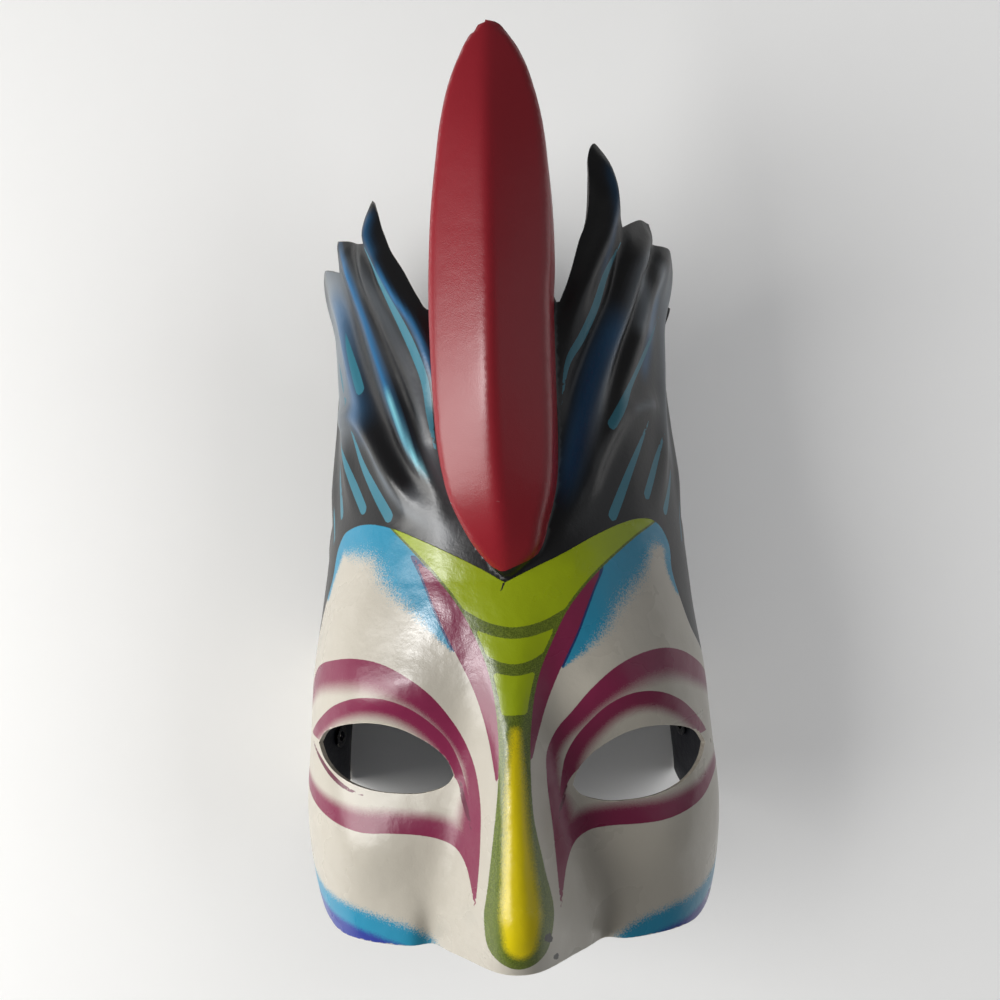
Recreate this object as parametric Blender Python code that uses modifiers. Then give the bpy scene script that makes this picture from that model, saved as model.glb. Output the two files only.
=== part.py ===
"""Masquerade mask: one moulded sheet with two strap eyelets. Metres, +Z out of the face, +Y to the crest."""
import math

import bmesh
import bpy
import numpy as np
from mathutils import Matrix, Vector
from mathutils.geometry import delaunay_2d_cdt

# Sizes of the sheet
sheet_thickness = 0.0016
face_length = 0.131
crest_length = 0.192
face_half_width = 0.0805
crown_height = 0.1185
foot_tuck = 0.0085

# Sizes of the face
nose_height = 0.036
nose_half_width = 0.0195
socket_depth = 0.006
brow_height = 0.003
cheek_height = 0.003
nostril_groove = 0.005

# Sizes of the eye holes, along the sheet
eye_length = 0.0625
eye_rise = 0.0146
eye_drop = 0.0106
eye_skew = 0.005

# Sizes of the crest
crest_half_width = 0.021
crest_wall_height = 0.014
crest_wall_run = 0.008
crest_ridge_height = 0.010
crest_lean = 0.006

# Sizes of the headdress
lock_height = 0.004
lock_reach = 0.0055
lobe_flare = 0.005
flap_flare = 0.009
hair_shift = 0.0015

# Sizes of the eyelets
eyelet_bore_radius = 0.0021
eyelet_wall = 0.0007
eyelet_flange_width = 0.0019
eyelet_flange_thickness = 0.0009
eyelet_height = 0.0165
eyelet_place = -0.53
clearance = 0.0003

# Mesh spacing
feature_spacing = 0.0048
front_spacing = 0.0070
side_spacing = 0.0125
front_share = 0.58
turned_steps = 20
floor_margin = 0.003
join_slack = 0.00002
merge_distance = 0.000001
direction_step = 0.0008

# Profiles along the mask: (share along, share of the size). -1 is the lower rim, 0 the crest's lower
# tip and 1 its upper tip.
WIDTHS = [(-1, .935), (-.91, .97), (-.69, 1), (-.46, .967), (-.3, .94), (-.1, .9), (0, .885),
          (.16, .842), (.31, .812), (.5, .803), (.63, .815), (.75, .8), (1, .74)]
CROWNS = [(-1, .85), (-.84, .87), (-.69, .91), (-.53, .955), (-.34, .995), (-.15, 1), (0, .98),
          (.16, .94), (.31, .895), (.5, .835), (.68, .74), (.83, .63), (1, .5)]
NOSE_RISES = [(-1, .78), (-.93, .92), (-.87, .97), (-.76, .86), (-.61, .64), (-.46, .42), (-.3, .2),
              (-.15, .07), (0, 0)]
NOSE_WIDTHS = [(-1, 1), (-.84, .92), (-.61, .68), (-.42, .58), (-.27, .62), (0, .7)]
CREST_LEFTS = [(0, 0), (.023, .25), (.06, .52), (.105, .74), (.147, .9), (.2, 1.01), (.25, 1.07), (.32, 1.1),
               (.41, 1.12), (.5, 1.12), (.575, 1.09), (.665, 1.03), (.737, .95), (.823, .835), (.888, .69),
               (.935, .53), (.965, .39), (.985, .25), (.996, .12), (1, 0)]
CREST_RIGHTS = [(0, 0), (.035, .4), (.105, .63), (.177, .78), (.23, .82), (.4, .85), (.5, .87), (.6, .91),
                (.68, .93), (.74, .92), (.816, .87), (.877, .765), (.923, .64), (.959, .475), (.98, .32),
                (.995, .14), (1, 0)]
CREST_RIDGES = [(0, 0), (.1, -.06), (.23, -.14), (.5, -.12), (.8, -.07), (1, 0)]
CREST_RIMS = [(0, .985), (.1, 1.045), (.25, 1.075), (.4, 1.075), (.5, 1.065), (.65, 1.045), (.8, 1.025),
              (.92, 1.005), (1, .99)]
CREST_WALLS = [(0, 0), (.06, .45), (.15, .8), (.3, 1), (.5, 1.05), (.7, .8), (.9, .4), (1, 0)]
CREST_RISES = [(0, 0), (.06, .4), (.15, .75), (.3, 1), (.6, 1), (.8, .75), (.92, .4), (1, .1)]
LEFT_LEAN = .15
NOTCH = .515
CREST_FREE = (.48, .56)
RIM_LINE_END = .97
FOOT_LINE_END = .5
TIP_START = .84
TIP_SPACING = .4
FACET_BULGE = 1.15

# Shares of the nose's half width where lines run along it, and their ends.
NOSE_LINES = (-.48, -.22, .22, .48)
NOSE_LINE_ENDS = (-.96, -.2)

# Ends of the flat back edge, and the place above which the edge is no longer cut flat.
BACK_EDGE = (-.70, .27)
BACK_EDGE_TOP = .28

# Hollows and swellings of the face: (half widths, lengths along, half widths, lengths), as shares.
SOCKET = (.545, -.504, .31, .122)
BROW = (.52, -.29, .32, .084)
CHEEK = (.68, -.75, .22, .1)
GROOVE = (.385, -1, .062, .107)

# Eye hole: (share from the inner to the outer corner, share of the rise or the drop).
EYE_INNER = (.112, -.5345)
EYE_OUTER = (.4895, -.47)
EYE_TOP = [(0, 0), (.03, .3), (.09, .56), (.19, .8), (.34, 1), (.5, 1), (.63, .88), (.78, .65), (.92, .34),
           (1, 0)]
EYE_BOTTOM = [(0, 0), (.03, -.3), (.16, -.75), (.33, -.95), (.51, -1), (.69, -.87), (.84, -.6),
              (.92, -.37), (1, 0)]

# Sheet outline: (share across, share along), across from the midline, or from the foot of the crest's
# wall, to the back edge. A stretch is smooth, and stretches meet at corners.
RIM_FRONT = [(0, -1), (.2, -1), (.38, -1)]
RIM_CORNER = [(.38, -1), (.45, -.997), (.52, -.975), (.61, -.925), (.74, -.845), (.88, -.76), (1, -.70)]
RIGHT_HAIR = [
    [(1, .27), (.97, .35), (.93, .44)],
    [(.93, .44), (.90, .42), (.87, .425)],
    [(.87, .425), (.845, .475), (.82, .55)],
    [(.82, .55), (.80, .50), (.775, .475)],
    [(.775, .475), (.755, .53), (.71, .585), (.64, .625), (.55, .645), (.44, .648)],
    [(.44, .648), (.45, .668), (.445, .692)],
    [(.445, .692), (.397, .696), (.325, .684), (.274, .67)],
    [(.274, .67), (.25, .712), (.251, .756), (.242, .795), (.228, .831), (.209, .848), (.189, .839),
     (.172, .819), (.163, .777), (.146, .721), (.123, .673), (.093, .635), (.056, .569), (.029, .525),
     (.014, .508), (0, .515)],
]
LEFT_HAIR = [
    [(1, .27), (.97, .36), (.92, .42)],
    [(.92, .42), (.89, .40), (.86, .41)],
    [(.86, .41), (.835, .455), (.80, .49)],
    [(.80, .49), (.785, .47), (.765, .465)],
    [(.765, .465), (.745, .53), (.69, .59), (.62, .622), (.55, .628), (.47, .615)],
    [(.47, .615), (.468, .65), (.475, .681)],
    [(.475, .681), (.412, .674), (.34, .66), (.292, .654)],
    [(.292, .654), (.299, .678), (.301, .704), (.296, .725), (.284, .745)],
    [(.284, .745), (.256, .718), (.236, .683), (.205, .644), (.146, .589), (.092, .531), (.064, .506),
     (.03, .503), (0, .515)],
]

# Ridges and valleys of the locks: (share of the lock height, share of the reach, points).
RIGHT_LOCKS = [
    (1, 1, [(.202, .828), (.233, .788), (.242, .734), (.206, .676), (.128, .586), (.068, .493),
            (.036, .427)]),
    (-.6, .8, [(.275, .633), (.214, .516), (.131, .429), (.06, .333), (.025, .249)]),
    (.9, .9, [(.415, .654), (.332, .588), (.262, .504), (.194, .425), (.154, .361), (.108, .282),
              (.061, .192), (.036, .117), (.015, .06)]),
    (-.5, .8, [(.44, .612), (.335, .513), (.24, .421), (.154, .322), (.091, .228)]),
    (.7, 1, [(.49, .61), (.39, .528), (.297, .432), (.211, .342), (.128, .246), (.076, .156)]),
    (.7, .8, [(.40, .32), (.323, .315), (.242, .303), (.17, .265), (.125, .22), (.091, .155), (.059, .094)]),
    (.5, 1, [(.65, .60), (.57, .48), (.50, .36), (.43, .22), (.34, .1)]),
    (.5, 1, [(.79, .49), (.72, .36), (.65, .22), (.56, .08)]),
    (.5, 1, [(.90, .40), (.84, .27), (.77, .13), (.70, 0)]),
]
LEFT_LOCKS = [
    (1, 1, [(.28, .728), (.285, .671), (.225, .597), (.162, .536), (.103, .481), (.064, .425), (.045, .352),
            (.039, .285)]),
    (-.6, .8, [(.291, .64), (.258, .557), (.187, .482), (.124, .407), (.083, .333), (.067, .258)]),
    (.8, 1, [(.328, .645), (.275, .557), (.194, .475), (.127, .398), (.097, .337), (.073, .239), (.045, .183),
             (.022, .12)]),
    (-.7, .8, [(.398, .629), (.30, .525), (.192, .379), (.117, .286), (.05, .193), (.022, .11)]),
    (.9, .9, [(.452, .666), (.37, .58), (.295, .496), (.228, .399), (.169, .31), (.123, .241), (.074, .188),
              (.03, .12)]),
    (-.5, .8, [(.458, .536), (.345, .406), (.233, .283), (.127, .186), (.066, .126)]),
    (.7, 1.2, [(.52, .55), (.369, .387), (.258, .284), (.165, .19), (.089, .124), (.04, .075)]),
    (.7, .8, [(.47, .318), (.399, .316), (.325, .298), (.263, .265), (.217, .22), (.175, .178), (.16, .1)]),
    (.5, 1, [(.65, .59), (.57, .48), (.50, .36), (.43, .22), (.35, .1)]),
    (.5, 1, [(.78, .45), (.71, .34), (.64, .22), (.55, .08)]),
    (.5, 1, [(.89, .39), (.83, .27), (.77, .13), (.70, 0)]),
]


def clear_scene():
    """Empty the scene."""
    for scene_object in list(bpy.data.objects):
        bpy.data.objects.remove(scene_object, do_unlink=True)


def ease(start, end, value):
    """0 before start and 1 after end, with a smooth change between."""
    part = np.clip((value - start) / (end - start), 0, 1)
    return part * part * (3 - 2 * part)


def profile(stations, place):
    """Smooth curve through stations of (place, value), level past both ends."""
    places = np.array([station[0] for station in stations], dtype=float)
    values = np.array([station[1] for station in stations], dtype=float)
    slopes = np.gradient(values, places)
    place = np.clip(place, places[0], places[-1])
    index = np.clip(np.searchsorted(places, place) - 1, 0, len(places) - 2)
    span = places[index + 1] - places[index]
    part = (place - places[index]) / span
    low = values[index] * (2 * part**3 - 3 * part**2 + 1)
    high = values[index + 1] * (3 * part**2 - 2 * part**3)
    bend_low = slopes[index] * span * (part**3 - 2 * part**2 + part)
    bend_high = slopes[index + 1] * span * (part**3 - part**2)
    return low + high + bend_low + bend_high


def smooth_line(points, spacing):
    """Points at an even spacing on the smooth line through the given points."""
    points = np.array(points, dtype=float)
    if len(points) > 2:
        steps = np.hypot(*np.diff(points, axis=0).T)
        lengths = np.append(0, np.cumsum(steps))
        dense = np.linspace(0, lengths[-1], 40 * len(points))
        columns = [profile(list(zip(lengths, column)), dense) for column in points.T]
        points = np.stack(columns, axis=-1)
    lengths = np.append(0, np.cumsum(np.hypot(*np.diff(points, axis=0).T)))
    count = max(2, round(lengths[-1] / spacing) + 1)
    even = np.linspace(0, lengths[-1], count)
    return np.stack([np.interp(even, lengths, column) for column in points.T], axis=-1)


def share_along(y):
    """-1 at the lower rim, 0 at the crest's lower tip, 1 at its upper tip."""
    return np.where(y < 0, y / face_length, y / crest_length)


def length_along(share):
    """The y of a share along the mask."""
    return share * (face_length if share < 0 else crest_length)


def arch_table(power, widest):
    """Unit arch from the crown (0, 1) round the side to the back edge, in steps of equal length."""
    angle = np.linspace(0, math.pi / 2, 3000)
    across = np.sin(angle) ** (2 / power)
    up = widest + (1 - widest) * np.abs(np.cos(angle)) ** (2 / power)
    down = np.linspace(0, 1, 1000)[1:]
    tuck = foot_tuck / face_half_width
    across = np.append(across, 1 - tuck * ease(0, 1, down))
    up = np.append(up, widest * (1 - down))
    steps = np.hypot(np.diff(across) * face_half_width, np.diff(up) * crown_height)
    lengths = np.append(0, np.cumsum(steps))
    even = np.linspace(0, lengths[-1], len(EVEN_SHARES))
    return np.interp(even, lengths, across), np.interp(even, lengths, up), lengths[-1]


EVEN_SHARES = np.linspace(0, 1, 2001)
FACE_ARCH = arch_table(2.9, .36)
HAIR_ARCH = arch_table(2.2, .34)
arch_length = (FACE_ARCH[2] + HAIR_ARCH[2]) / 2


def arch(run, y):
    """Half width and height of the plain sheet at a run along its arch from the midline."""
    share = share_along(y)
    part = np.clip(run / arch_length, 0, 1)
    hair = ease(-.3, .16, share)
    across = (1 - hair) * np.interp(part, EVEN_SHARES, FACE_ARCH[0])
    across = across + hair * np.interp(part, EVEN_SHARES, HAIR_ARCH[0])
    up = (1 - hair) * np.interp(part, EVEN_SHARES, FACE_ARCH[1])
    up = up + hair * np.interp(part, EVEN_SHARES, HAIR_ARCH[1])
    below = np.maximum(run - arch_length, 0)
    half_width = face_half_width * profile(WIDTHS, share) * across
    return half_width, crown_height * profile(CROWNS, share) * up - below


def arch_normal(run, y):
    """Outward direction (across, up) of the plain sheet."""
    step = direction_step
    low = arch(np.clip(run - step, 0, arch_length - step), y)
    high = arch(np.clip(run + step, step, arch_length), y)
    across, up = high[0] - low[0], high[1] - low[1]
    size = np.hypot(across, up)
    return -up / size, across / size


def crest_section(side, y):
    """Half width, wall run, lean and wall height of the crest on one side (-1 left, 1 right)."""
    share = np.clip(y / crest_length, 0, 1)
    left = profile(CREST_LEFTS, share)
    right = profile(CREST_RIGHTS, share)
    edge = crest_half_width * np.maximum(np.where(side < 0, left, right), 0)
    tall = np.where(y > 0, profile(CREST_WALLS, share), 0)
    lean = crest_lean * np.where(side < 0, LEFT_LEAN, 1) * tall
    return edge, crest_wall_run * tall, lean, crest_wall_height * tall


def chart(side, across, along):
    """Chart place (s, y) of shares across and along, on one side."""
    y = length_along(along)
    edge, wall_run, lean, tall = crest_section(side, np.array(y))
    reach = edge + wall_run + across * (arch_length - edge - lean)
    return float(side * reach), y


def line_distance(points, line):
    """Distance of each point to a line of points, and the share along it of the nearest place."""
    best = np.full(len(points), np.inf)
    place = np.zeros(len(points))
    for index in range(len(line) - 1):
        start, step = line[index], line[index + 1] - line[index]
        part = np.clip((points - start) @ step / (step @ step), 0, 1)
        gap = np.hypot(*(points - start - part[:, None] * step).T)
        nearer = gap < best
        best = np.where(nearer, gap, best)
        place = np.where(nearer, (index + part) / (len(line) - 1), place)
    return best, place


def lock_lines():
    """Every ridge and valley of the locks as (height, reach, chart line)."""
    lines = []
    for side, locks in ((-1, LEFT_LOCKS), (1, RIGHT_LOCKS)):
        for height, reach, shares in locks:
            places = [chart(side, across, along) for across, along in shares]
            lines.append((height * lock_height, reach * lock_reach, smooth_line(places, feature_spacing)))
    return lines


def lock_relief(s, y, lines):
    """Height of the locks' ridges over the plain sheet."""
    points = np.stack([s, y], axis=-1)
    relief = np.zeros(len(points))
    for height, reach, line in lines:
        gap, place = line_distance(points, line)
        fade = ease(-.12, .12, place) * (1 - ease(.7, 1.05, place))
        relief += height * fade * np.exp(-(gap / reach) ** 2)
    return relief * ease(0, .05, share_along(y))


def swelling(half_widths, share, place):
    """A smooth swelling of height 1 at a place of the face."""
    across, along, reach_across, reach_along = place
    return np.exp(-((half_widths - across) / reach_across) ** 2 - ((share - along) / reach_along) ** 2)


def face_relief(x, y):
    """Nose, eye sockets, brows and cheeks over the plain sheet."""
    share = share_along(y)
    nose_rise = nose_height * profile(NOSE_RISES, share)
    nose_width = nose_half_width * profile(NOSE_WIDTHS, share)
    relief = nose_rise * np.exp(-(np.abs(x) / nose_width) ** 2.3)
    half_widths = np.abs(x) / face_half_width
    relief -= socket_depth * swelling(half_widths, share, SOCKET)
    relief += brow_height * swelling(half_widths, share, BROW)
    relief += cheek_height * swelling(half_widths, share, CHEEK)
    return relief - nostril_groove * swelling(half_widths, share, GROOVE)


def lobe_relief(side, run, y):
    """The third lobes bend outward to their tips, and the right flap curls out."""
    share = share_along(y)
    part = run / arch_length
    lobe = lobe_flare * ease(.47, .64, share) * ease(.5, .62, part) * (1 - ease(.8, .88, part))
    flap = flap_flare * ease(.44, .56, share) * ease(.79, .83, part) * (1 - ease(.88, .95, part))
    return lobe + np.where(side > 0, flap, 0)


def surface(s, y, lines):
    """Places in space of chart points on the outer skin."""
    side = np.where(s < 0, -1, 1)
    share = share_along(y)
    reach = np.abs(s)
    edge, wall_run, lean, tall = crest_section(side, y)
    in_crest = (y > 0) & (reach < edge + wall_run + join_slack)
    run = np.where(in_crest, edge + lean, reach - wall_run + lean)
    shift = hair_shift * ease(-.23, .2, share)
    half_width, height = arch(run, y)
    normal_across, normal_up = arch_normal(run, y)
    foot_s = np.where(in_crest, side * (edge + wall_run), s)
    relief = lock_relief(foot_s, y, lines) + lobe_relief(side, run, y)
    x = side * (half_width + relief * normal_across) + shift
    z = height + relief * normal_up
    z = z + face_relief(x, y)
    rim = crown_height * profile(CREST_RIMS, np.clip(share, 0, 1))
    free = ease(*CREST_FREE, share)
    foot_z = (1 - free) * z + free * (rim - tall)
    down = np.clip((reach - edge) / np.maximum(wall_run, 1e-6), 0, 1)
    rim_x = side * edge
    wall_x = rim_x + (x - rim_x) * down
    wall_z = rim + (foot_z - rim) * down
    ridge = crest_half_width * profile(CREST_RIDGES, np.clip(share, 0, 1))
    half_facet = np.where(s < ridge, edge + ridge, edge - ridge)
    slope = np.clip(np.abs(s - ridge) / np.maximum(half_facet, 1e-6), 0, 1)
    top_z = rim + crest_ridge_height * profile(CREST_RISES, np.clip(share, 0, 1)) * (1 - slope ** FACET_BULGE)
    on_top = in_crest & (reach < edge)
    x = np.where(on_top, s, np.where(in_crest, wall_x, x))
    z = np.where(on_top, top_z, np.where(in_crest, wall_z, z))
    return np.stack([x, y, z], axis=-1)


def crest_shares(start, end):
    """Even shares along the crest, closer together near its upper tip."""
    body_end = min(end, TIP_START)
    body = np.linspace(start, body_end, round((body_end - start) * crest_length / feature_spacing) + 1)
    if end <= TIP_START:
        return body
    tip_count = round((end - TIP_START) * crest_length / (feature_spacing * TIP_SPACING))
    return np.append(body[:-1], np.linspace(TIP_START, end, tip_count + 1))


def side_outline(side, hair):
    """Chart outline of one half, from the middle of the lower rim to the crest's upper tip."""
    lower, upper = BACK_EDGE
    stretches = [RIM_FRONT, RIM_CORNER, [(1, lower), (1, lower / 2), (1, 0)],
                 [(1, 0), (1, upper / 2), (1, upper)]]
    outline = []
    for stretch in stretches + hair:
        places = [chart(side, across, along) for across, along in stretch]
        outline.extend(smooth_line(places, feature_spacing)[:-1])
    below = floor_margin * np.array([side, 0])
    back = arch_length - join_slack
    outline = [place + below if abs(place[0]) >= back and place[1] < crest_length * BACK_EDGE_TOP else place
               for place in outline]
    for share in crest_shares(NOTCH, 1):
        edge, wall_run, lean, tall = crest_section(side, np.array(share * crest_length))
        outline.append(np.array([side * (edge + wall_run), share * crest_length]))
    return outline


def sheet_outline():
    """Closed chart outline of the whole sheet, anticlockwise."""
    right = side_outline(1, RIGHT_HAIR)
    left = side_outline(-1, LEFT_HAIR)
    return np.array(right[:-1] + left[:0:-1])


def eye_outline(side):
    """Chart outline of one eye hole."""
    inner = np.array(chart(side, *EYE_INNER))
    outer = np.array(chart(side, *EYE_OUTER))
    middle = (inner + outer) / 2
    axis = (outer - inner) / np.linalg.norm(outer - inner)
    inner = middle - axis * eye_length / 2
    outer = middle + axis * eye_length / 2
    skew = np.array([0, -side * eye_skew / 2])
    points = []
    for stations, size in ((EYE_TOP, eye_rise), (EYE_BOTTOM, eye_drop)):
        arc = [inner + (outer - inner) * part + np.array([0, size * up]) + skew for part, up in stations]
        arc = smooth_line(arc, feature_spacing * .75)
        points.extend(arc[:-1] if size == eye_rise else arc[:0:-1])
    return np.array(points)


def crest_lines():
    """Chart lines of the nose, the crest's ridge, its two rims and the two feet of its walls."""
    lines = [smooth_line([(0, -face_length), (0, 0)], feature_spacing)]
    low, high = NOSE_LINE_ENDS
    for share in NOSE_LINES:
        rows = np.linspace(low, high, round((high - low) * face_length / feature_spacing))
        places = share * nose_half_width * profile(NOSE_WIDTHS, rows)
        lines.append(np.stack([places, rows * face_length], axis=-1))
    for share_end, kind in ((1, 0), (RIM_LINE_END, 1), (FOOT_LINE_END, 2)):
        for side in ((1,) if kind == 0 else (-1, 1)):
            line = []
            for share in crest_shares(0, share_end):
                edge, wall_run, lean, tall = crest_section(side, np.array(share * crest_length))
                ridge = crest_half_width * profile(CREST_RIDGES, share)
                s = (ridge, side * edge, side * (edge + wall_run))[kind]
                line.append((float(s), share * crest_length))
            lines.append(np.array(line))
    return lines


def lattice(spacing, reach_from, reach_to):
    """Staggered points of the chart between two reaches from the midline."""
    rows = np.arange(-face_length, crest_length, spacing * math.sqrt(3) / 2)
    points = []
    for number, y in enumerate(rows):
        row = np.arange(-reach_to, reach_to, spacing) + (number % 2) * spacing / 2
        keep = (np.abs(row) >= reach_from) & (np.abs(row) < reach_to)
        points.extend((s, y) for s in row[keep])
    return np.array(points)


def inside(points, outline):
    """Whether each point is inside a closed outline."""
    result = np.zeros(len(points), dtype=bool)
    for index in range(len(outline)):
        start, end = outline[index - 1], outline[index]
        spans = (start[1] > points[:, 1]) != (end[1] > points[:, 1])
        rise = end[1] - start[1]
        crossing = start[0] + (points[:, 1] - start[1]) * (end[0] - start[0]) / (rise if rise else 1)
        result ^= spans & (points[:, 0] < crossing)
    return result


def chart_mesh():
    """Points and triangles of the flat chart, with the feature lines as edges."""
    outline = sheet_outline()
    eyes = [eye_outline(-1), eye_outline(1)]
    open_lines = crest_lines()
    for height, reach, line in lock_lines():
        open_lines.append(line[inside(line, outline)])
    fixed, edges = [], []
    for loop in [outline] + eyes:
        first = len(fixed)
        fixed.extend(loop)
        edges.extend((first + index, first + (index + 1) % len(loop)) for index in range(len(loop)))
    for line in open_lines:
        first = len(fixed)
        fixed.extend(line)
        edges.extend((first + index, first + index + 1) for index in range(len(line) - 1))
    fixed = np.array(fixed)
    border = front_share * arch_length
    free = []
    for spacing, reach_from, reach_to in ((front_spacing, 0, border),
                                          (side_spacing, border, arch_length * 1.2)):
        points = lattice(spacing, reach_from, reach_to)
        gaps = np.min(np.hypot(*(points[:, None, :] - fixed[None, :, :]).transpose(2, 0, 1)), axis=1)
        free.extend(points[(gaps > .62 * spacing) & inside(points, outline)])
    points = [Vector(point) for point in np.vstack([fixed, np.array(free)])]
    places, lines, triangles, *origins = delaunay_2d_cdt(points, edges, [], 0, merge_distance)
    places = np.array(places)
    middles = np.array([places[list(triangle)].mean(axis=0) for triangle in triangles])
    keep = inside(middles, outline) & ~inside(middles, eyes[0]) & ~inside(middles, eyes[1])
    return places, [triangle for triangle, kept in zip(triangles, keep) if kept]


def new_object(name, mesh, collection):
    """Object of a mesh in a collection."""
    made = bpy.data.objects.new(name, mesh)
    collection.objects.link(made)
    return made


def paint(name, color, roughness, metallic=0.0):
    """Material of one colour."""
    material = bpy.data.materials.new(name)
    material.use_nodes = True
    shader = material.node_tree.nodes["Principled BSDF"]
    shader.inputs["Base Color"].default_value = (*color, 1)
    shader.inputs["Roughness"].default_value = roughness
    shader.inputs["Metallic"].default_value = metallic
    return material


def make_shell(parts):
    """The moulded sheet, before its cuts."""
    places, triangles = chart_mesh()
    lines = lock_lines()
    skin = surface(places[:, 0], places[:, 1], lines)
    mesh = bpy.data.meshes.new("mask_shell")
    mesh.from_pydata([tuple(place) for place in skin], [], triangles)
    work = bmesh.new()
    work.from_mesh(mesh)
    loose = [vertex for vertex in work.verts if not vertex.link_faces]
    bmesh.ops.delete(work, geom=loose, context="VERTS")
    bmesh.ops.recalc_face_normals(work, faces=work.faces)
    if sum(face.normal.z for face in work.faces) < 0:
        bmesh.ops.reverse_faces(work, faces=work.faces)
    work.to_mesh(mesh)
    work.free()
    shell = new_object("mask_shell", mesh, parts)
    shell.data.materials.append(paint("moulded_sheet", (.62, .58, .52), .35))
    thickness = shell.modifiers.new("thickness", "SOLIDIFY")
    thickness.thickness = sheet_thickness
    thickness.offset = -1
    return shell


def cut(shell, cutter, name):
    """Cut the shell with a cutter object."""
    cutter.hide_render = True
    cutter.display_type = "WIRE"
    boolean = shell.modifiers.new(name, "BOOLEAN")
    boolean.operation = "DIFFERENCE"
    boolean.solver = "EXACT"
    boolean.object = cutter


def make_floor_cutter(cutters):
    """Block below the plane that the back edges lie in."""
    bpy.ops.mesh.primitive_cube_add(size=1)
    block = bpy.context.object
    block.name = "floor_cutter"
    depth = 4 * floor_margin
    block.scale = (4 * face_half_width, 2 * (face_length + crest_length), depth)
    block.location = (0, 0, -depth / 2)
    move_to(block, cutters)
    return block


def move_to(made, collection):
    """Put an object in one collection only."""
    for other in list(made.users_collection):
        other.objects.unlink(made)
    collection.objects.link(made)


def eyelet_frame(side):
    """Middle of the eyelet on the outer skin, and its outward direction."""
    y = length_along(eyelet_place)
    runs = np.linspace(.6, 1, 400) * arch_length
    heights = surface(side * runs, np.full(len(runs), y), lock_lines())[:, 2]
    s = side * float(np.interp(eyelet_height, heights[::-1], runs[::-1]))
    step = feature_spacing / 2
    places = surface(np.array([s - step, s + step, s, s]), np.array([y, y, y - step, y + step]), lock_lines())
    normal = Vector(places[1] - places[0]).cross(Vector(places[3] - places[2])).normalized()
    return Vector(places.mean(axis=0)), normal


def wall_span(side, centre, normal):
    """How far the outer skin stands up and falls away within the eyelet's flange."""
    radius = eyelet_bore_radius + eyelet_wall + eyelet_flange_width
    base_s = [chart(side, part, eyelet_place)[0] for part in np.linspace(.6, 1, 60)]
    ys = length_along(eyelet_place) + np.linspace(-radius, radius, 9)
    grid_s, grid_y = np.meshgrid(base_s, ys)
    places = surface(grid_s.ravel(), grid_y.ravel(), lock_lines())
    heights = []
    for place in places:
        offset = Vector(place) - centre
        height = offset.dot(normal)
        if (offset - height * normal).length <= radius * 1.1:
            heights.append(height)
    return max(heights), min(heights)


def make_eyelet(name, side, parts, cutters, shell):
    """One flanged ring, turned about its own axis, and the hole for it."""
    centre, normal = eyelet_frame(side)
    highest, lowest = wall_span(side, centre, normal)
    outer = highest + clearance
    inner = lowest - sheet_thickness - clearance
    barrel = eyelet_bore_radius + eyelet_wall
    flange = barrel + eyelet_flange_width
    end, top = inner - eyelet_flange_thickness, outer + eyelet_flange_thickness
    section = [(eyelet_bore_radius, end), (flange, end), (flange, inner), (barrel, inner),
               (barrel, outer), (flange, outer), (flange, top), (eyelet_bore_radius, top)]
    mesh = bpy.data.meshes.new(name)
    count = len(section)
    mesh.from_pydata([(radius, 0, height) for radius, height in section],
                     [(index, (index + 1) % count) for index in range(count)], [])
    ring = new_object(name, mesh, parts)
    ring.data.materials.append(paint(name + "_metal", (.05, .05, .06), .3, .8))
    turn = ring.modifiers.new("turn", "SCREW")
    turn.steps = turned_steps
    turn.render_steps = turned_steps
    turn.use_merge_vertices = True
    turn.merge_threshold = 0.00001
    turn.use_normal_flip = True
    turning = normal.to_track_quat("Z", "Y").to_matrix().to_4x4()
    ring.matrix_world = Matrix.Translation(centre) @ turning
    bpy.ops.mesh.primitive_cylinder_add(vertices=turned_steps, radius=barrel + clearance,
                                        depth=8 * sheet_thickness)
    hole = bpy.context.object
    hole.name = name + "_hole"
    hole.matrix_world = ring.matrix_world
    move_to(hole, cutters)
    cut(shell, hole, name + "_hole")
    return ring


def settle(shell, others):
    """Move everything so that the shell's box stands with its bottom centre at the origin."""
    bpy.context.view_layer.update()
    evaluated = shell.evaluated_get(bpy.context.evaluated_depsgraph_get())
    corners = np.array([vertex.co for vertex in evaluated.data.vertices])
    low, high = corners.min(axis=0), corners.max(axis=0)
    offset = Vector((-(low[0] + high[0]) / 2, -(low[1] + high[1]) / 2, -low[2]))
    for made in [shell] + others:
        made.location = made.location + offset


def main():
    """Build the mask."""
    clear_scene()
    parts = bpy.data.collections.new("masquerade_mask")
    cutters = bpy.data.collections.new("cutters")
    bpy.context.scene.collection.children.link(parts)
    bpy.context.scene.collection.children.link(cutters)
    shell = make_shell(parts)
    floor = make_floor_cutter(cutters)
    cut(shell, floor, "flat_back_edge")
    left = make_eyelet("eyelet_left", -1, parts, cutters, shell)
    right = make_eyelet("eyelet_right", 1, parts, cutters, shell)
    settle(shell, [left, right] + list(cutters.objects))


main()
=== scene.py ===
"""Looks of the masquerade mask: painted moulded sheet, strap eyelets, floor, light and camera. Metres."""
import math

import bpy
import numpy as np
from mathutils import Matrix, Vector
from mathutils.geometry import delaunay_2d_cdt
from mathutils.kdtree import KDTree


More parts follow.
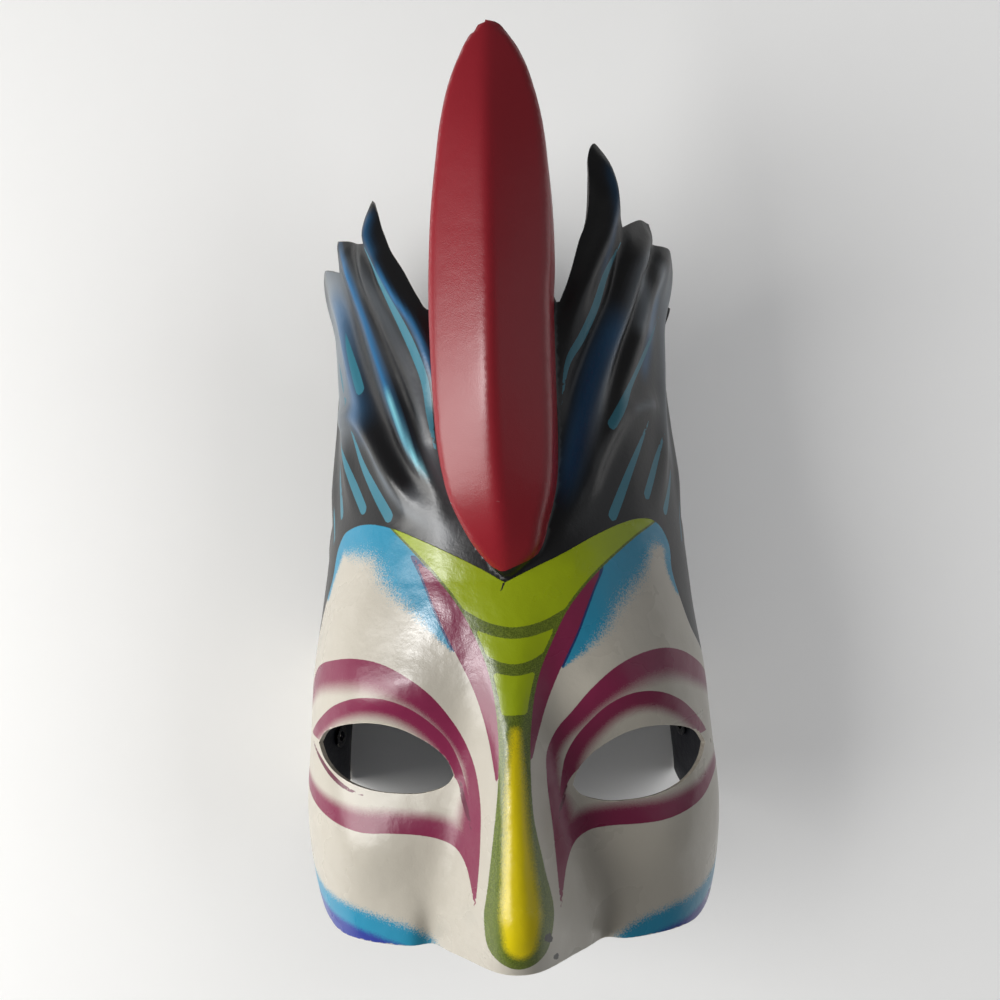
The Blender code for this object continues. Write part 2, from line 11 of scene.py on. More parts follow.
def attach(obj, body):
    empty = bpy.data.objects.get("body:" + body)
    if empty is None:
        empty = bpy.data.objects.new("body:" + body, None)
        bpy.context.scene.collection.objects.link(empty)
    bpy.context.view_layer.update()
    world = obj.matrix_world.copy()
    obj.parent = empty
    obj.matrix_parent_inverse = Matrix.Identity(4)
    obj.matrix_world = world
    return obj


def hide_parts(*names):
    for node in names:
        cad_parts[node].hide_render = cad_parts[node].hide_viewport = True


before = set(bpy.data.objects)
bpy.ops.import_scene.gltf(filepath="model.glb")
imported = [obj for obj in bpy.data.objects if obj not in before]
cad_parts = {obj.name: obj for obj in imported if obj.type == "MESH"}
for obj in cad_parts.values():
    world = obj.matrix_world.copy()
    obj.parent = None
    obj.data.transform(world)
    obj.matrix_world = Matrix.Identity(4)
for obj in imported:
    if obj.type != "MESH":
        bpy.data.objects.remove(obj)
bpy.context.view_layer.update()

bl_info = {
    "name": "Masquerade mask looks",
    "version": (1, 0, 0),
    "blender": (4, 5, 0),
    "location": "3D View > Sidebar > Mask",
    "description": "Builds the painted masquerade mask on its packed frame",
    "category": "Object",
}

# Sizes of the sheet
sheet_thickness = 0.0016
face_length = 0.131
crest_length = 0.192
face_half_width = 0.0805
crown_height = 0.1185
foot_tuck = 0.0085

# Sizes of the face
nose_height = 0.036
nose_half_width = 0.0195
socket_depth = 0.006
brow_height = 0.003
cheek_height = 0.003
nostril_groove = 0.005

# Sizes of the eye holes, along the sheet
eye_length = 0.0625
eye_rise = 0.0146
eye_drop = 0.0106
eye_skew = 0.005

# Sizes of the crest
crest_half_width = 0.021
crest_wall_height = 0.014
crest_wall_run = 0.008
crest_ridge_height = 0.010
crest_lean = 0.006

# Sizes of the headdress
lock_height = 0.004
lock_reach = 0.0055
lobe_flare = 0.005
flap_flare = 0.009
hair_shift = 0.0015

# Sizes of the eyelets
eyelet_bore_radius = 0.0021
eyelet_wall = 0.0007
eyelet_flange_width = 0.0019
eyelet_flange_thickness = 0.0009
eyelet_height = 0.0165
eyelet_place = -0.53
clearance = 0.0003

# Along the mask, from the chart's zero to the part's own
middle_shift = (face_length - crest_length) / 2

# Mesh spacing
feature_spacing = 0.0017
front_share = 0.58
eyelet_rounding = 0.00025
floor_margin = 0.0
join_slack = 0.00002
merge_distance = 0.000001
direction_step = 0.0008

# Profiles along the mask: (share along, share of the size). -1 is the lower rim, 0 the crest's lower
# tip and 1 its upper tip.
WIDTHS = [(-1, .935), (-.91, .97), (-.69, 1), (-.46, .967), (-.3, .94), (-.1, .9), (0, .885),
          (.16, .842), (.31, .812), (.5, .803), (.63, .815), (.75, .8), (1, .74)]
CROWNS = [(-1, .85), (-.84, .87), (-.69, .91), (-.53, .955), (-.34, .995), (-.15, 1), (0, .98),
          (.16, .94), (.31, .895), (.5, .835), (.68, .74), (.83, .63), (1, .5)]
NOSE_RISES = [(-1, .78), (-.93, .92), (-.87, .97), (-.76, .86), (-.61, .64), (-.46, .42), (-.3, .2),
              (-.15, .07), (0, 0)]
NOSE_WIDTHS = [(-1, 1), (-.84, .92), (-.61, .68), (-.42, .58), (-.27, .62), (0, .7)]
CREST_LEFTS = [(0, 0), (.023, .25), (.06, .52), (.105, .74), (.147, .9), (.2, 1.01), (.25, 1.07), (.32, 1.1),
               (.41, 1.12), (.5, 1.12), (.575, 1.09), (.665, 1.03), (.737, .95), (.823, .835), (.888, .69),
               (.935, .53), (.965, .39), (.985, .25), (.996, .12), (1, 0)]
CREST_RIGHTS = [(0, 0), (.035, .4), (.105, .63), (.177, .78), (.23, .82), (.4, .85), (.5, .87), (.6, .91),
                (.68, .93), (.74, .92), (.816, .87), (.877, .765), (.923, .64), (.959, .475), (.98, .32),
                (.995, .14), (1, 0)]
CREST_RIDGES = [(0, 0), (.1, -.06), (.23, -.14), (.5, -.12), (.8, -.07), (1, 0)]
CREST_RIMS = [(0, .985), (.1, 1.045), (.25, 1.075), (.4, 1.075), (.5, 1.065), (.65, 1.045), (.8, 1.025),
              (.92, 1.005), (1, .99)]
CREST_WALLS = [(0, 0), (.06, .45), (.15, .8), (.3, 1), (.5, 1.05), (.7, .8), (.9, .4), (1, 0)]
CREST_RISES = [(0, 0), (.06, .4), (.15, .75), (.3, 1), (.6, 1), (.8, .75), (.92, .4), (1, .1)]
LEFT_LEAN = .15
NOTCH = .515
CREST_FREE = (.48, .56)
RIM_LINE_END = .97
FOOT_LINE_END = .5
TIP_START = .84
TIP_SPACING = .4
FACET_BULGE = 1.15

# Shares of the nose's half width where lines run along it, and their ends.
NOSE_LINES = (-.48, -.22, .22, .48)
NOSE_LINE_ENDS = (-.96, -.2)

# Ends of the flat back edge, and the place above which the edge is no longer cut flat.
BACK_EDGE = (-.70, .27)
BACK_EDGE_TOP = .28

# Hollows and swellings of the face: (half widths, lengths along, half widths, lengths), as shares.
SOCKET = (.545, -.504, .31, .122)
BROW = (.52, -.29, .32, .084)
CHEEK = (.68, -.75, .22, .1)
GROOVE = (.385, -1, .062, .107)

# Eye hole: (share from the inner to the outer corner, share of the rise or the drop).
EYE_INNER = (.112, -.5345)
EYE_OUTER = (.4895, -.47)
EYE_TOP = [(0, 0), (.03, .3), (.09, .56), (.19, .8), (.34, 1), (.5, 1), (.63, .88), (.78, .65), (.92, .34),
           (1, 0)]
EYE_BOTTOM = [(0, 0), (.03, -.3), (.16, -.75), (.33, -.95), (.51, -1), (.69, -.87), (.84, -.6),
              (.92, -.37), (1, 0)]

# Sheet outline: (share across, share along), across from the midline, or from the foot of the crest's
# wall, to the back edge. A stretch is smooth, and stretches meet at corners.
RIM_FRONT = [(0, -1), (.2, -1), (.38, -1)]
RIM_CORNER = [(.38, -1), (.45, -.997), (.52, -.975), (.61, -.925), (.74, -.845), (.88, -.76), (1, -.70)]
RIGHT_HAIR = [
    [(1, .27), (.97, .35), (.93, .44)],
    [(.93, .44), (.90, .42), (.87, .425)],
    [(.87, .425), (.845, .475), (.82, .55)],
    [(.82, .55), (.80, .50), (.775, .475)],
    [(.775, .475), (.755, .53), (.71, .585), (.64, .625), (.55, .645), (.44, .648)],
    [(.44, .648), (.45, .668), (.445, .692)],
    [(.445, .692), (.397, .696), (.325, .684), (.274, .67)],
    [(.274, .67), (.25, .712), (.251, .756), (.242, .795), (.228, .831), (.209, .848), (.189, .839),
     (.172, .819), (.163, .777), (.146, .721), (.123, .673), (.093, .635), (.056, .569), (.029, .525),
     (.014, .508), (0, .515)],
]
LEFT_HAIR = [
    [(1, .27), (.97, .36), (.92, .42)],
    [(.92, .42), (.89, .40), (.86, .41)],
    [(.86, .41), (.835, .455), (.80, .49)],
    [(.80, .49), (.785, .47), (.765, .465)],
    [(.765, .465), (.745, .53), (.69, .59), (.62, .622), (.55, .628), (.47, .615)],
    [(.47, .615), (.468, .65), (.475, .681)],
    [(.475, .681), (.412, .674), (.34, .66), (.292, .654)],
    [(.292, .654), (.299, .678), (.301, .704), (.296, .725), (.284, .745)],
    [(.284, .745), (.256, .718), (.236, .683), (.205, .644), (.146, .589), (.092, .531), (.064, .506),
     (.03, .503), (0, .515)],
]

# Ridges and valleys of the locks: (share of the lock height, share of the reach, points).
RIGHT_LOCKS = [
    (1, 1, [(.202, .828), (.233, .788), (.242, .734), (.206, .676), (.128, .586), (.068, .493),
            (.036, .427)]),
    (-.6, .8, [(.275, .633), (.214, .516), (.131, .429), (.06, .333), (.025, .249)]),
    (.9, .9, [(.415, .654), (.332, .588), (.262, .504), (.194, .425), (.154, .361), (.108, .282),
              (.061, .192), (.036, .117), (.015, .06)]),
    (-.5, .8, [(.44, .612), (.335, .513), (.24, .421), (.154, .322), (.091, .228)]),
    (.7, 1, [(.49, .61), (.39, .528), (.297, .432), (.211, .342), (.128, .246), (.076, .156)]),
    (.7, .8, [(.40, .32), (.323, .315), (.242, .303), (.17, .265), (.125, .22), (.091, .155), (.059, .094)]),
    (.5, 1, [(.65, .60), (.57, .48), (.50, .36), (.43, .22), (.34, .1)]),
    (.5, 1, [(.79, .49), (.72, .36), (.65, .22), (.56, .08)]),
    (.5, 1, [(.90, .40), (.84, .27), (.77, .13), (.70, 0)]),
]
LEFT_LOCKS = [
    (1, 1, [(.28, .728), (.285, .671), (.225, .597), (.162, .536), (.103, .481), (.064, .425), (.045, .352),
            (.039, .285)]),
    (-.6, .8, [(.291, .64), (.258, .557), (.187, .482), (.124, .407), (.083, .333), (.067, .258)]),
    (.8, 1, [(.328, .645), (.275, .557), (.194, .475), (.127, .398), (.097, .337), (.073, .239), (.045, .183),
             (.022, .12)]),
    (-.7, .8, [(.398, .629), (.30, .525), (.192, .379), (.117, .286), (.05, .193), (.022, .11)]),
    (.9, .9, [(.452, .666), (.37, .58), (.295, .496), (.228, .399), (.169, .31), (.123, .241), (.074, .188),
              (.03, .12)]),
    (-.5, .8, [(.458, .536), (.345, .406), (.233, .283), (.127, .186), (.066, .126)]),
    (.7, 1.2, [(.52, .55), (.369, .387), (.258, .284), (.165, .19), (.089, .124), (.04, .075)]),
    (.7, .8, [(.47, .318), (.399, .316), (.325, .298), (.263, .265), (.217, .22), (.175, .178), (.16, .1)]),
    (.5, 1, [(.65, .59), (.57, .48), (.50, .36), (.43, .22), (.35, .1)]),
    (.5, 1, [(.78, .45), (.71, .34), (.64, .22), (.55, .08)]),
    (.5, 1, [(.89, .39), (.83, .27), (.77, .13), (.70, 0)]),
]

# Paint: places on the sheet are (share across, share along), across below 0 on the left. They were read
# off the photo, turned into shares of the sheet and then adjusted. A mark's curve is smooth between its
# corners.
paint_spacing = 0.0015
field_limit = 0.014
wash_limit = 0.03

HAIR_LINE_LEFT = [(-1.05, -.28), (-.75, -.24), (-.6, -.17), (-.56, -.08), (-.53, 0), (-.485, .059),
                  (-.453, .082), (-.384, .1), (-.312, .106), (-.233, .099), (-.147, .076), (-.077, .047),
                  (-.032, .019), (-.007, -.006)]
HAIR_LINE_RIGHT = [(-.007, -.006), (.023, .018), (.063, .042), (.128, .07), (.209, .091), (.274, .099),
                   (.337, .095), (.381, .078), (.42, .045), (.452, 0), (.47, -.09), (.5, -.17), (.56, -.23),
                   (.75, -.28), (1.05, -.3)]

SPINE = [
    [(-.25, .12), (-.233, .099)],
    [(-.233, .099), (-.178, .051), (-.139, -.025), (-.099, -.088), (-.067, -.159), (-.047, -.22),
     (-.033, -.3), (-.027, -.39), (-.03, -.51), (-.042, -.644), (-.057, -.777), (-.067, -.86),
     (-.057, -.943), (-.003, -.98), (.05, -.95), (.069, -.87), (.053, -.724), (.037, -.6), (.035, -.49),
     (.04, -.376), (.059, -.256), (.099, -.152), (.126, -.095), (.178, -.023), (.22, .04), (.273, .068),
     (.351, .091)],
    [(.351, .091), (.38, .12)],
    [(.38, .12), (-.25, .12)],
]
LIME_END = -.341
LIME_INSET = [(-.34, .0018), (-.22, .0014), (-.1, .0011), (0, .0009), (.1, .0007)]
BARS = [[(-.105, -.085), (-.054, -.118), (.012, -.136), (.078, -.123), (.13, -.094)],
        [(-.06, -.198), (-.023, -.221), (.009, -.229), (.042, -.224), (.082, -.202)]]
BAR_HALF_WIDTH = .0019
CORE = [(.008, -.385), (.006, -.467), (.004, -.576), (.004, -.686), (.005, -.78), (.005, -.838), (.003, -.9)]
CORE_WIDTHS = [(0, .0017), (.25, .0033), (.5, .0042), (.72, .0056), (.88, .0068), (1, .0058)]
CORE_SOFTNESS = .004

FLANKS = [
    [[(-.186, .046), (-.193, .005), (-.165, -.072), (-.134, -.142), (-.105, -.205), (-.08, -.266),
      (-.062, -.328), (-.048, -.397), (-.034, -.511)],
     [(-.034, -.511), (-.01, -.45), (-.01, -.33), (-.05, -.17), (-.1, -.05), (-.186, .046)]],
    [[(.203, .014), (.2, -.025), (.174, -.086), (.149, -.147), (.124, -.2), (.097, -.26), (.075, -.32),
      (.056, -.388), (.035, -.473)],
     [(.035, -.473), (.02, -.4), (.02, -.3), (.06, -.15), (.12, -.04), (.203, .014)]],
]

# Bands round the eyes: crisp edge curves, the rest of the region's loop, depth of solid colour and reach.
BROWS = [
    ([[(-.75, -.38), (-.585, -.301), (-.514, -.241), (-.42, -.21), (-.347, -.201), (-.281, -.211),
       (-.223, -.241), (-.169, -.288), (-.125, -.355), (-.095, -.421), (-.077, -.483), (-.067, -.56),
       (-.069, -.687), (-.085, -.86)],
      [(-.085, -.86), (-.091, -.789), (-.101, -.741), (-.118, -.71), (-.149, -.692), (-.192, -.681),
       (-.255, -.677), (-.318, -.679), (-.386, -.665), (-.459, -.639), (-.555, -.602), (-.75, -.57)]],
     [[(-.75, -.57), (-.75, -.38)]]),
    ([[(.75, -.37), (.56, -.295), (.479, -.25), (.421, -.219), (.359, -.202), (.29, -.209), (.228, -.237),
       (.171, -.288), (.124, -.351), (.091, -.396), (.07, -.448), (.067, -.511), (.073, -.63), (.085, -.87)],
      [(.085, -.87), (.093, -.791), (.102, -.744), (.12, -.701), (.148, -.68), (.193, -.673), (.25, -.674),
       (.313, -.672), (.371, -.66), (.433, -.638), (.5, -.6), (.75, -.56)]],
     [[(.75, -.56), (.75, -.37)]]),
]
BROW_REACHES = [(-.86, .0052), (-.66, .009), (-.5, .005), (-.38, .0075), (-.28, .0108), (-.2, .0108)]
LIDS = [
    ([[(-.55, -.436), (-.475, -.38), (-.404, -.33), (-.328, -.302), (-.261, -.304), (-.208, -.329),
       (-.163, -.372), (-.132, -.415), (-.112, -.465), (-.1, -.513), (-.091, -.567), (-.085, -.65)]],
     [[(-.085, -.65), (-.1, -.594), (-.113, -.531), (-.3, -.47), (-.55, -.436)]]),
    ([[(.5, -.46), (.439, -.396), (.383, -.345), (.323, -.313), (.263, -.308), (.208, -.332), (.162, -.379),
       (.128, -.427), (.107, -.475), (.099, -.515), (.093, -.561), (.088, -.63)]],
     [[(.088, -.63), (.098, -.578), (.112, -.54), (.3, -.47), (.5, -.46)]]),
]
LID_REACH = .0072
LINERS = [([(-.525, -.46), (-.461, -.501), (-.412, -.536), (-.365, -.564), (-.315, -.581)], .0009),
          ([(.452, -.5), (.413, -.54), (.371, -.569), (.328, -.591)], .0009),
          ([(-.107, -.53), (-.102, -.57), (-.094, -.608), (-.086, -.65)], .0008),
          ([(.108, -.548), (.1, -.579), (.092, -.608), (.087, -.635)], .0006)]
LINER_TAPER = [(0, .5), (.35, 1), (.7, .9), (1, .2)]

BLUE_LINES = [
    ([(-.54, -.04), (-.515, .02), (-.453, .082), (-.384, .1), (-.312, .106), (-.233, .099), (-.19, .04),
      (-.178, -.04), (-.14, -.13), (-.12, -.175)],
     [(0, .003), (.2, .0095), (.45, .0135), (.65, .0145), (.82, .0095), (1, .001)]),
    ([(.462, -.05), (.452, 0), (.42, .045), (.381, .078), (.3, .09), (.235, .045), (.2, -.02), (.174, -.086),
      (.145, -.155), (.115, -.225)],
     [(0, .003), (.15, .0065), (.35, .0105), (.55, .0135), (.72, .0135), (.88, .0085), (1, .001)]),
]
CHEEK_CORNERS = [
    [[(-.62, -.8), (-.474, -.87), (-.376, -.895), (-.296, -.915), (-.212, -.952), (-.16, -1.02)],
     [(-.16, -1.02), (-.7, -1.05)], [(-.7, -1.05), (-.62, -.8)]],
    [[(.62, -.82), (.47, -.885), (.4, -.91), (.332, -.923), (.258, -.948), (.213, -.987), (.19, -1.03)],
     [(.19, -1.03), (.7, -1.05)], [(.7, -1.05), (.62, -.82)]],
]

# Strokes of the locks: points, half width, and whether both ends taper.
TEAL_STROKES = [
    ([(-.289, .65), (-.23, .583), (-.184, .525), (-.143, .476), (-.106, .429), (-.072, .372), (-.06, .304),
      (-.048, .225)], .0024, True),
    ([(-.455, .5), (-.393, .431), (-.335, .365)], .0018, False),
    ([(-.53, .45), (-.439, .332)], .0009, True),
    ([(-.42, .305), (-.344, .23), (-.278, .171), (-.23, .12)], .0022, False),
    ([(-.5, .29), (-.394, .202), (-.33, .135)], .002, False),
    ([(-.56, .25), (-.471, .125)], .0018, False),
    ([(-.6, .19), (-.53, .065)], .0012, False),
    ([(.283, .65), (.185, .568), (.143, .501), (.089, .44), (.045, .4), (.016, .315)], .0021, True),
    ([(.519, .505), (.4, .44), (.303, .382), (.155, .275)], .0019, False),
    ([(.36, .29), (.243, .191), (.185, .108)], .0021, False),
    ([(.44, .265), (.362, .2), (.313, .143)], .0018, False),
    ([(.52, .2), (.41, .112)], .0019, False),
    ([(.575, .14), (.54, .05)], .001, False),
]
# Blue streaks of the locks: points, reach and strength. They are blue paint, brightened into painted
# highlights along the ridges.
BLUE_PAINT_AND_HIGHLIGHT_STREAKS = [
    ([(-.28, .728), (-.279, .669), (-.235, .61)], .0022, .4),
    ([(-.25, .63), (-.205, .575), (-.159, .53), (-.1, .478), (-.062, .42), (-.042, .35)], .0013, .9),
    ([(-.479, .7), (-.374, .58), (-.301, .497), (-.232, .4), (-.17, .31), (-.119, .241), (-.071, .18)],
     .0013, 1),
    ([(-.479, .66), (-.374, .55), (-.301, .467), (-.232, .37), (-.17, .28)], .0022, .14),
    ([(-.52, .6), (-.46, .48), (-.38, .36), (-.29, .26)], .006, .5),
    ([(.25, .52), (.208, .469), (.147, .404), (.07, .283), (.022, .12)], .0035, .7),
    ([(.225, .82), (.24, .74), (.215, .66), (.15, .54)], .0022, .3),
    ([(.5, .56), (.42, .46), (.33, .36)], .004, .45),
]
# Cyan streak: a painted highlight along a ridge of the left locks, with points, reach and strength.
CYAN_HIGHLIGHT_STREAK = ([(-.215, .37), (-.165, .302), (-.119, .241), (-.071, .18)], .0009, 1)
# Grey streaks of the locks: points, reach and strength. They are grey paint, with painted highlights along
# the ridges and a painted reflection on the outer lobes.
GREY_PAINT_AND_SHEEN_STREAKS = [
    ([(-.339, .655), (-.273, .557), (-.193, .476), (-.126, .398), (-.093, .337), (-.068, .239), (-.043, .183),
      (-.019, .113)], .0024, .3),
    ([(-.46, .67), (-.37, .59), (-.31, .51), (-.24, .42), (-.18, .33)], .0022, .26),
    ([(-.5, .68), (-.54, .5), (-.5, .36), (-.5, .22)], .013, .8),
    ([(-.4, .33), (-.33, .29), (-.25, .21), (-.19, .14)], .002, .3),
    ([(-.36, .29), (-.26, .23), (-.17, .14), (-.1, .09)], .0018, .3),
    ([(-.16, .17), (-.1, .11), (-.05, .06)], .0042, .3),
    ([(.461, .66), (.321, .586), (.257, .504), (.191, .425), (.153, .361), (.104, .282), (.058, .192)],
     .0024, .55),
    ([(.386, .63), (.371, .526), (.311, .442)], .0035, .7),
    ([(.5, .62), (.46, .52), (.4, .44)], .004, .8),
    ([(.57, .64), (.59, .5), (.55, .36), (.5, .2)], .011, .95),
    ([(.4, .32), (.323, .315), (.242, .303)], .0018, .4),
]
CHIPS = [([(.056, -.902), (.063, -.917)], .0013), ([(.074, -.972), (.078, -.98)], .0011),
         ([(-.313, -.059), (-.309, -.06)], .0005), ([(-.009, -.006), (-.015, -.026), (-.019, -.043)], .00045)]
SCRATCHES = [([(.0078, .318), (.0108, .312)], .0004), ([(-.001, .142), (.002, .139)], .0003)]
CREST_PAINT_GAP = .0034

# Width of a stroke along it: (share along, share of the half width)
BOTH_ENDS_TAPER = [(0, .1), (.4, 1), (.6, 1), (1, .1)]
START_TAPER = [(0, .15), (.5, .75), (.85, 1), (1, 1)]
CHIP_TAPER = [(0, 1), (1, .6)]
SCRATCH_TAPER = [(0, 1), (1, .5)]

# Colours that are no values of the panel, from 0 to 255
VIOLET = (46, 60, 150)
FLANK_SHADE = (28, 52, 104)
OLIVE = (78, 94, 14)
OLIVE_SPECK = (110, 124, 38)
# Grey paint and painted sheen of the locks
GREY_PAINT_AND_SHEEN = (150, 158, 166)
# Blue paint and painted highlight of the locks
BLUE_PAINT_AND_HIGHLIGHT = (42, 116, 170)
# Painted cyan highlight of the locks
PAINTED_CYAN_HIGHLIGHT = (140, 222, 236)
SCRATCH_TONE = (190, 150, 150)
CHIP_TONE = (38, 34, 30)
WORN_FACE = (214, 206, 190)
WORN_HAIR = (92, 88, 86)
PALE_EDGE = (206, 198, 184)
PALE_EDGE_SHADE = (140, 130, 118)
DARK_EDGE = (30, 29, 31)
DARK_EDGE_LIGHT = (72, 68, 68)
METAL = (34, 34, 40)
WORN_METAL = (120, 116, 110)


def ease(start, end, value):
    """0 before start and 1 after end, with a smooth change between."""
    part = np.clip((value - start) / (end - start), 0, 1)
    return part * part * (3 - 2 * part)


def profile(stations, place):
    """Smooth curve through stations of (place, value), level past both ends."""
    places = np.array([station[0] for station in stations], dtype=float)
    values = np.array([station[1] for station in stations], dtype=float)
    slopes = np.gradient(values, places)
    place = np.clip(place, places[0], places[-1])
    index = np.clip(np.searchsorted(places, place) - 1, 0, len(places) - 2)
    span = places[index + 1] - places[index]
    part = (place - places[index]) / span
    low = values[index] * (2 * part**3 - 3 * part**2 + 1)
    high = values[index + 1] * (3 * part**2 - 2 * part**3)
    bend_low = slopes[index] * span * (part**3 - 2 * part**2 + part)
    bend_high = slopes[index + 1] * span * (part**3 - part**2)
    return low + high + bend_low + bend_high


def smooth_line(points, spacing):
    """Points at an even spacing on the smooth line through the given points."""
    points = np.array(points, dtype=float)
    if len(points) > 2:
        steps = np.hypot(*np.diff(points, axis=0).T)
        lengths = np.append(0, np.cumsum(steps))
        dense = np.linspace(0, lengths[-1], 40 * len(points))
        columns = [profile(list(zip(lengths, column)), dense) for column in points.T]
        points = np.stack(columns, axis=-1)
    lengths = np.append(0, np.cumsum(np.hypot(*np.diff(points, axis=0).T)))
    count = max(2, round(lengths[-1] / spacing) + 1)
    even = np.linspace(0, lengths[-1], count)
    return np.stack([np.interp(even, lengths, column) for column in points.T], axis=-1)


def share_along(y):
    """-1 at the lower rim, 0 at the crest's lower tip, 1 at its upper tip."""
    return np.where(y < 0, y / face_length, y / crest_length)


def length_along(share):
    """The y of a share along the mask."""
    return share * (face_length if share < 0 else crest_length)


def arch_table(power, widest):
    """Unit arch from the crown (0, 1) round the side to the back edge, in steps of equal length."""
    angle = np.linspace(0, math.pi / 2, 3000)
    across = np.sin(angle) ** (2 / power)
    up = widest + (1 - widest) * np.abs(np.cos(angle)) ** (2 / power)
    down = np.linspace(0, 1, 1000)[1:]
    tuck = foot_tuck / face_half_width
    across = np.append(across, 1 - tuck * ease(0, 1, down))
    up = np.append(up, widest * (1 - down))
    steps = np.hypot(np.diff(across) * face_half_width, np.diff(up) * crown_height)
    lengths = np.append(0, np.cumsum(steps))
    even = np.linspace(0, lengths[-1], len(EVEN_SHARES))
    return np.interp(even, lengths, across), np.interp(even, lengths, up), lengths[-1]


EVEN_SHARES = np.linspace(0, 1, 2001)
FACE_ARCH = arch_table(2.9, .36)
HAIR_ARCH = arch_table(2.2, .34)
arch_length = (FACE_ARCH[2] + HAIR_ARCH[2]) / 2


def arch(run, y):
    """Half width and height of the plain sheet at a run along its arch from the midline."""
    share = share_along(y)
    part = np.clip(run / arch_length, 0, 1)
    hair = ease(-.3, .16, share)
    across = (1 - hair) * np.interp(part, EVEN_SHARES, FACE_ARCH[0])
    across = across + hair * np.interp(part, EVEN_SHARES, HAIR_ARCH[0])
    up = (1 - hair) * np.interp(part, EVEN_SHARES, FACE_ARCH[1])
    up = up + hair * np.interp(part, EVEN_SHARES, HAIR_ARCH[1])
    below = np.maximum(run - arch_length, 0)
    half_width = face_half_width * profile(WIDTHS, share) * across
    return half_width, crown_height * profile(CROWNS, share) * up - below


def arch_normal(run, y):
    """Outward direction (across, up) of the plain sheet."""
    step = direction_step
    low = arch(np.clip(run - step, 0, arch_length - step), y)
    high = arch(np.clip(run + step, step, arch_length), y)
    across, up = high[0] - low[0], high[1] - low[1]
    size = np.hypot(across, up)
    return -up / size, across / size


def crest_section(side, y):
    """Half width, wall run, lean and wall height of the crest on one side (-1 left, 1 right)."""
    share = np.clip(y / crest_length, 0, 1)
    left = profile(CREST_LEFTS, share)
    right = profile(CREST_RIGHTS, share)
    edge = crest_half_width * np.maximum(np.where(side < 0, left, right), 0)
    tall = np.where(y > 0, profile(CREST_WALLS, share), 0)
    lean = crest_lean * np.where(side < 0, LEFT_LEAN, 1) * tall
    return edge, crest_wall_run * tall, lean, crest_wall_height * tall


def chart(side, across, along):
    """Chart place (s, y) of shares across and along, on one side."""
    y = length_along(along)
    edge, wall_run, lean = crest_section(side, np.array(y))[:3]
    reach = edge + wall_run + across * (arch_length - edge - lean)
    return float(side * reach), y


def line_distance(points, line):
    """Distance of each point to a line of points, and the share along it of the nearest place."""
    best = np.full(len(points), np.inf)
    place = np.zeros(len(points))
    for index in range(len(line) - 1):
        start, step = line[index], line[index + 1] - line[index]
        part = np.clip((points - start) @ step / (step @ step), 0, 1)
        gap = np.hypot(*(points - start - part[:, None] * step).T)
        nearer = gap < best
        best = np.where(nearer, gap, best)
        place = np.where(nearer, (index + part) / (len(line) - 1), place)
    return best, place


def lock_lines():
    """Every ridge and valley of the locks as (height, reach, chart line)."""
    lines = []
    for side, locks in ((-1, LEFT_LOCKS), (1, RIGHT_LOCKS)):
        for height, reach, shares in locks:
            places = [chart(side, across, along) for across, along in shares]
            lines.append((height * lock_height, reach * lock_reach, smooth_line(places, feature_spacing)))
    return lines


def lock_relief(s, y, lines):
    """Height of the locks' ridges over the plain sheet."""
    points = np.stack([s, y], axis=-1)
    relief = np.zeros(len(points))
    for height, reach, line in lines:
        gap, place = line_distance(points, line)
        fade = ease(-.12, .12, place) * (1 - ease(.7, 1.05, place))
        relief += height * fade * np.exp(-(gap / reach) ** 2)
    return relief * ease(0, .05, share_along(y))


def swelling(half_widths, share, place):
    """A smooth swelling of height 1 at a place of the face."""
    across, along, reach_across, reach_along = place
    return np.exp(-((half_widths - across) / reach_across) ** 2 - ((share - along) / reach_along) ** 2)


def face_relief(x, y):
    """Nose, eye sockets, brows and cheeks over the plain sheet."""
    share = share_along(y)
    nose_rise = nose_height * profile(NOSE_RISES, share)
    nose_width = nose_half_width * profile(NOSE_WIDTHS, share)
    relief = nose_rise * np.exp(-(np.abs(x) / nose_width) ** 2.3)
    half_widths = np.abs(x) / face_half_width
    relief -= socket_depth * swelling(half_widths, share, SOCKET)
    relief += brow_height * swelling(half_widths, share, BROW)
    relief += cheek_height * swelling(half_widths, share, CHEEK)
    return relief - nostril_groove * swelling(half_widths, share, GROOVE)


def lobe_relief(side, run, y):
    """The third lobes bend outward to their tips, and the right flap curls out."""
    share = share_along(y)
    part = run / arch_length
    lobe = lobe_flare * ease(.47, .64, share) * ease(.5, .62, part) * (1 - ease(.8, .88, part))
    flap = flap_flare * ease(.44, .56, share) * ease(.79, .83, part) * (1 - ease(.88, .95, part))
    return lobe + np.where(side > 0, flap, 0)


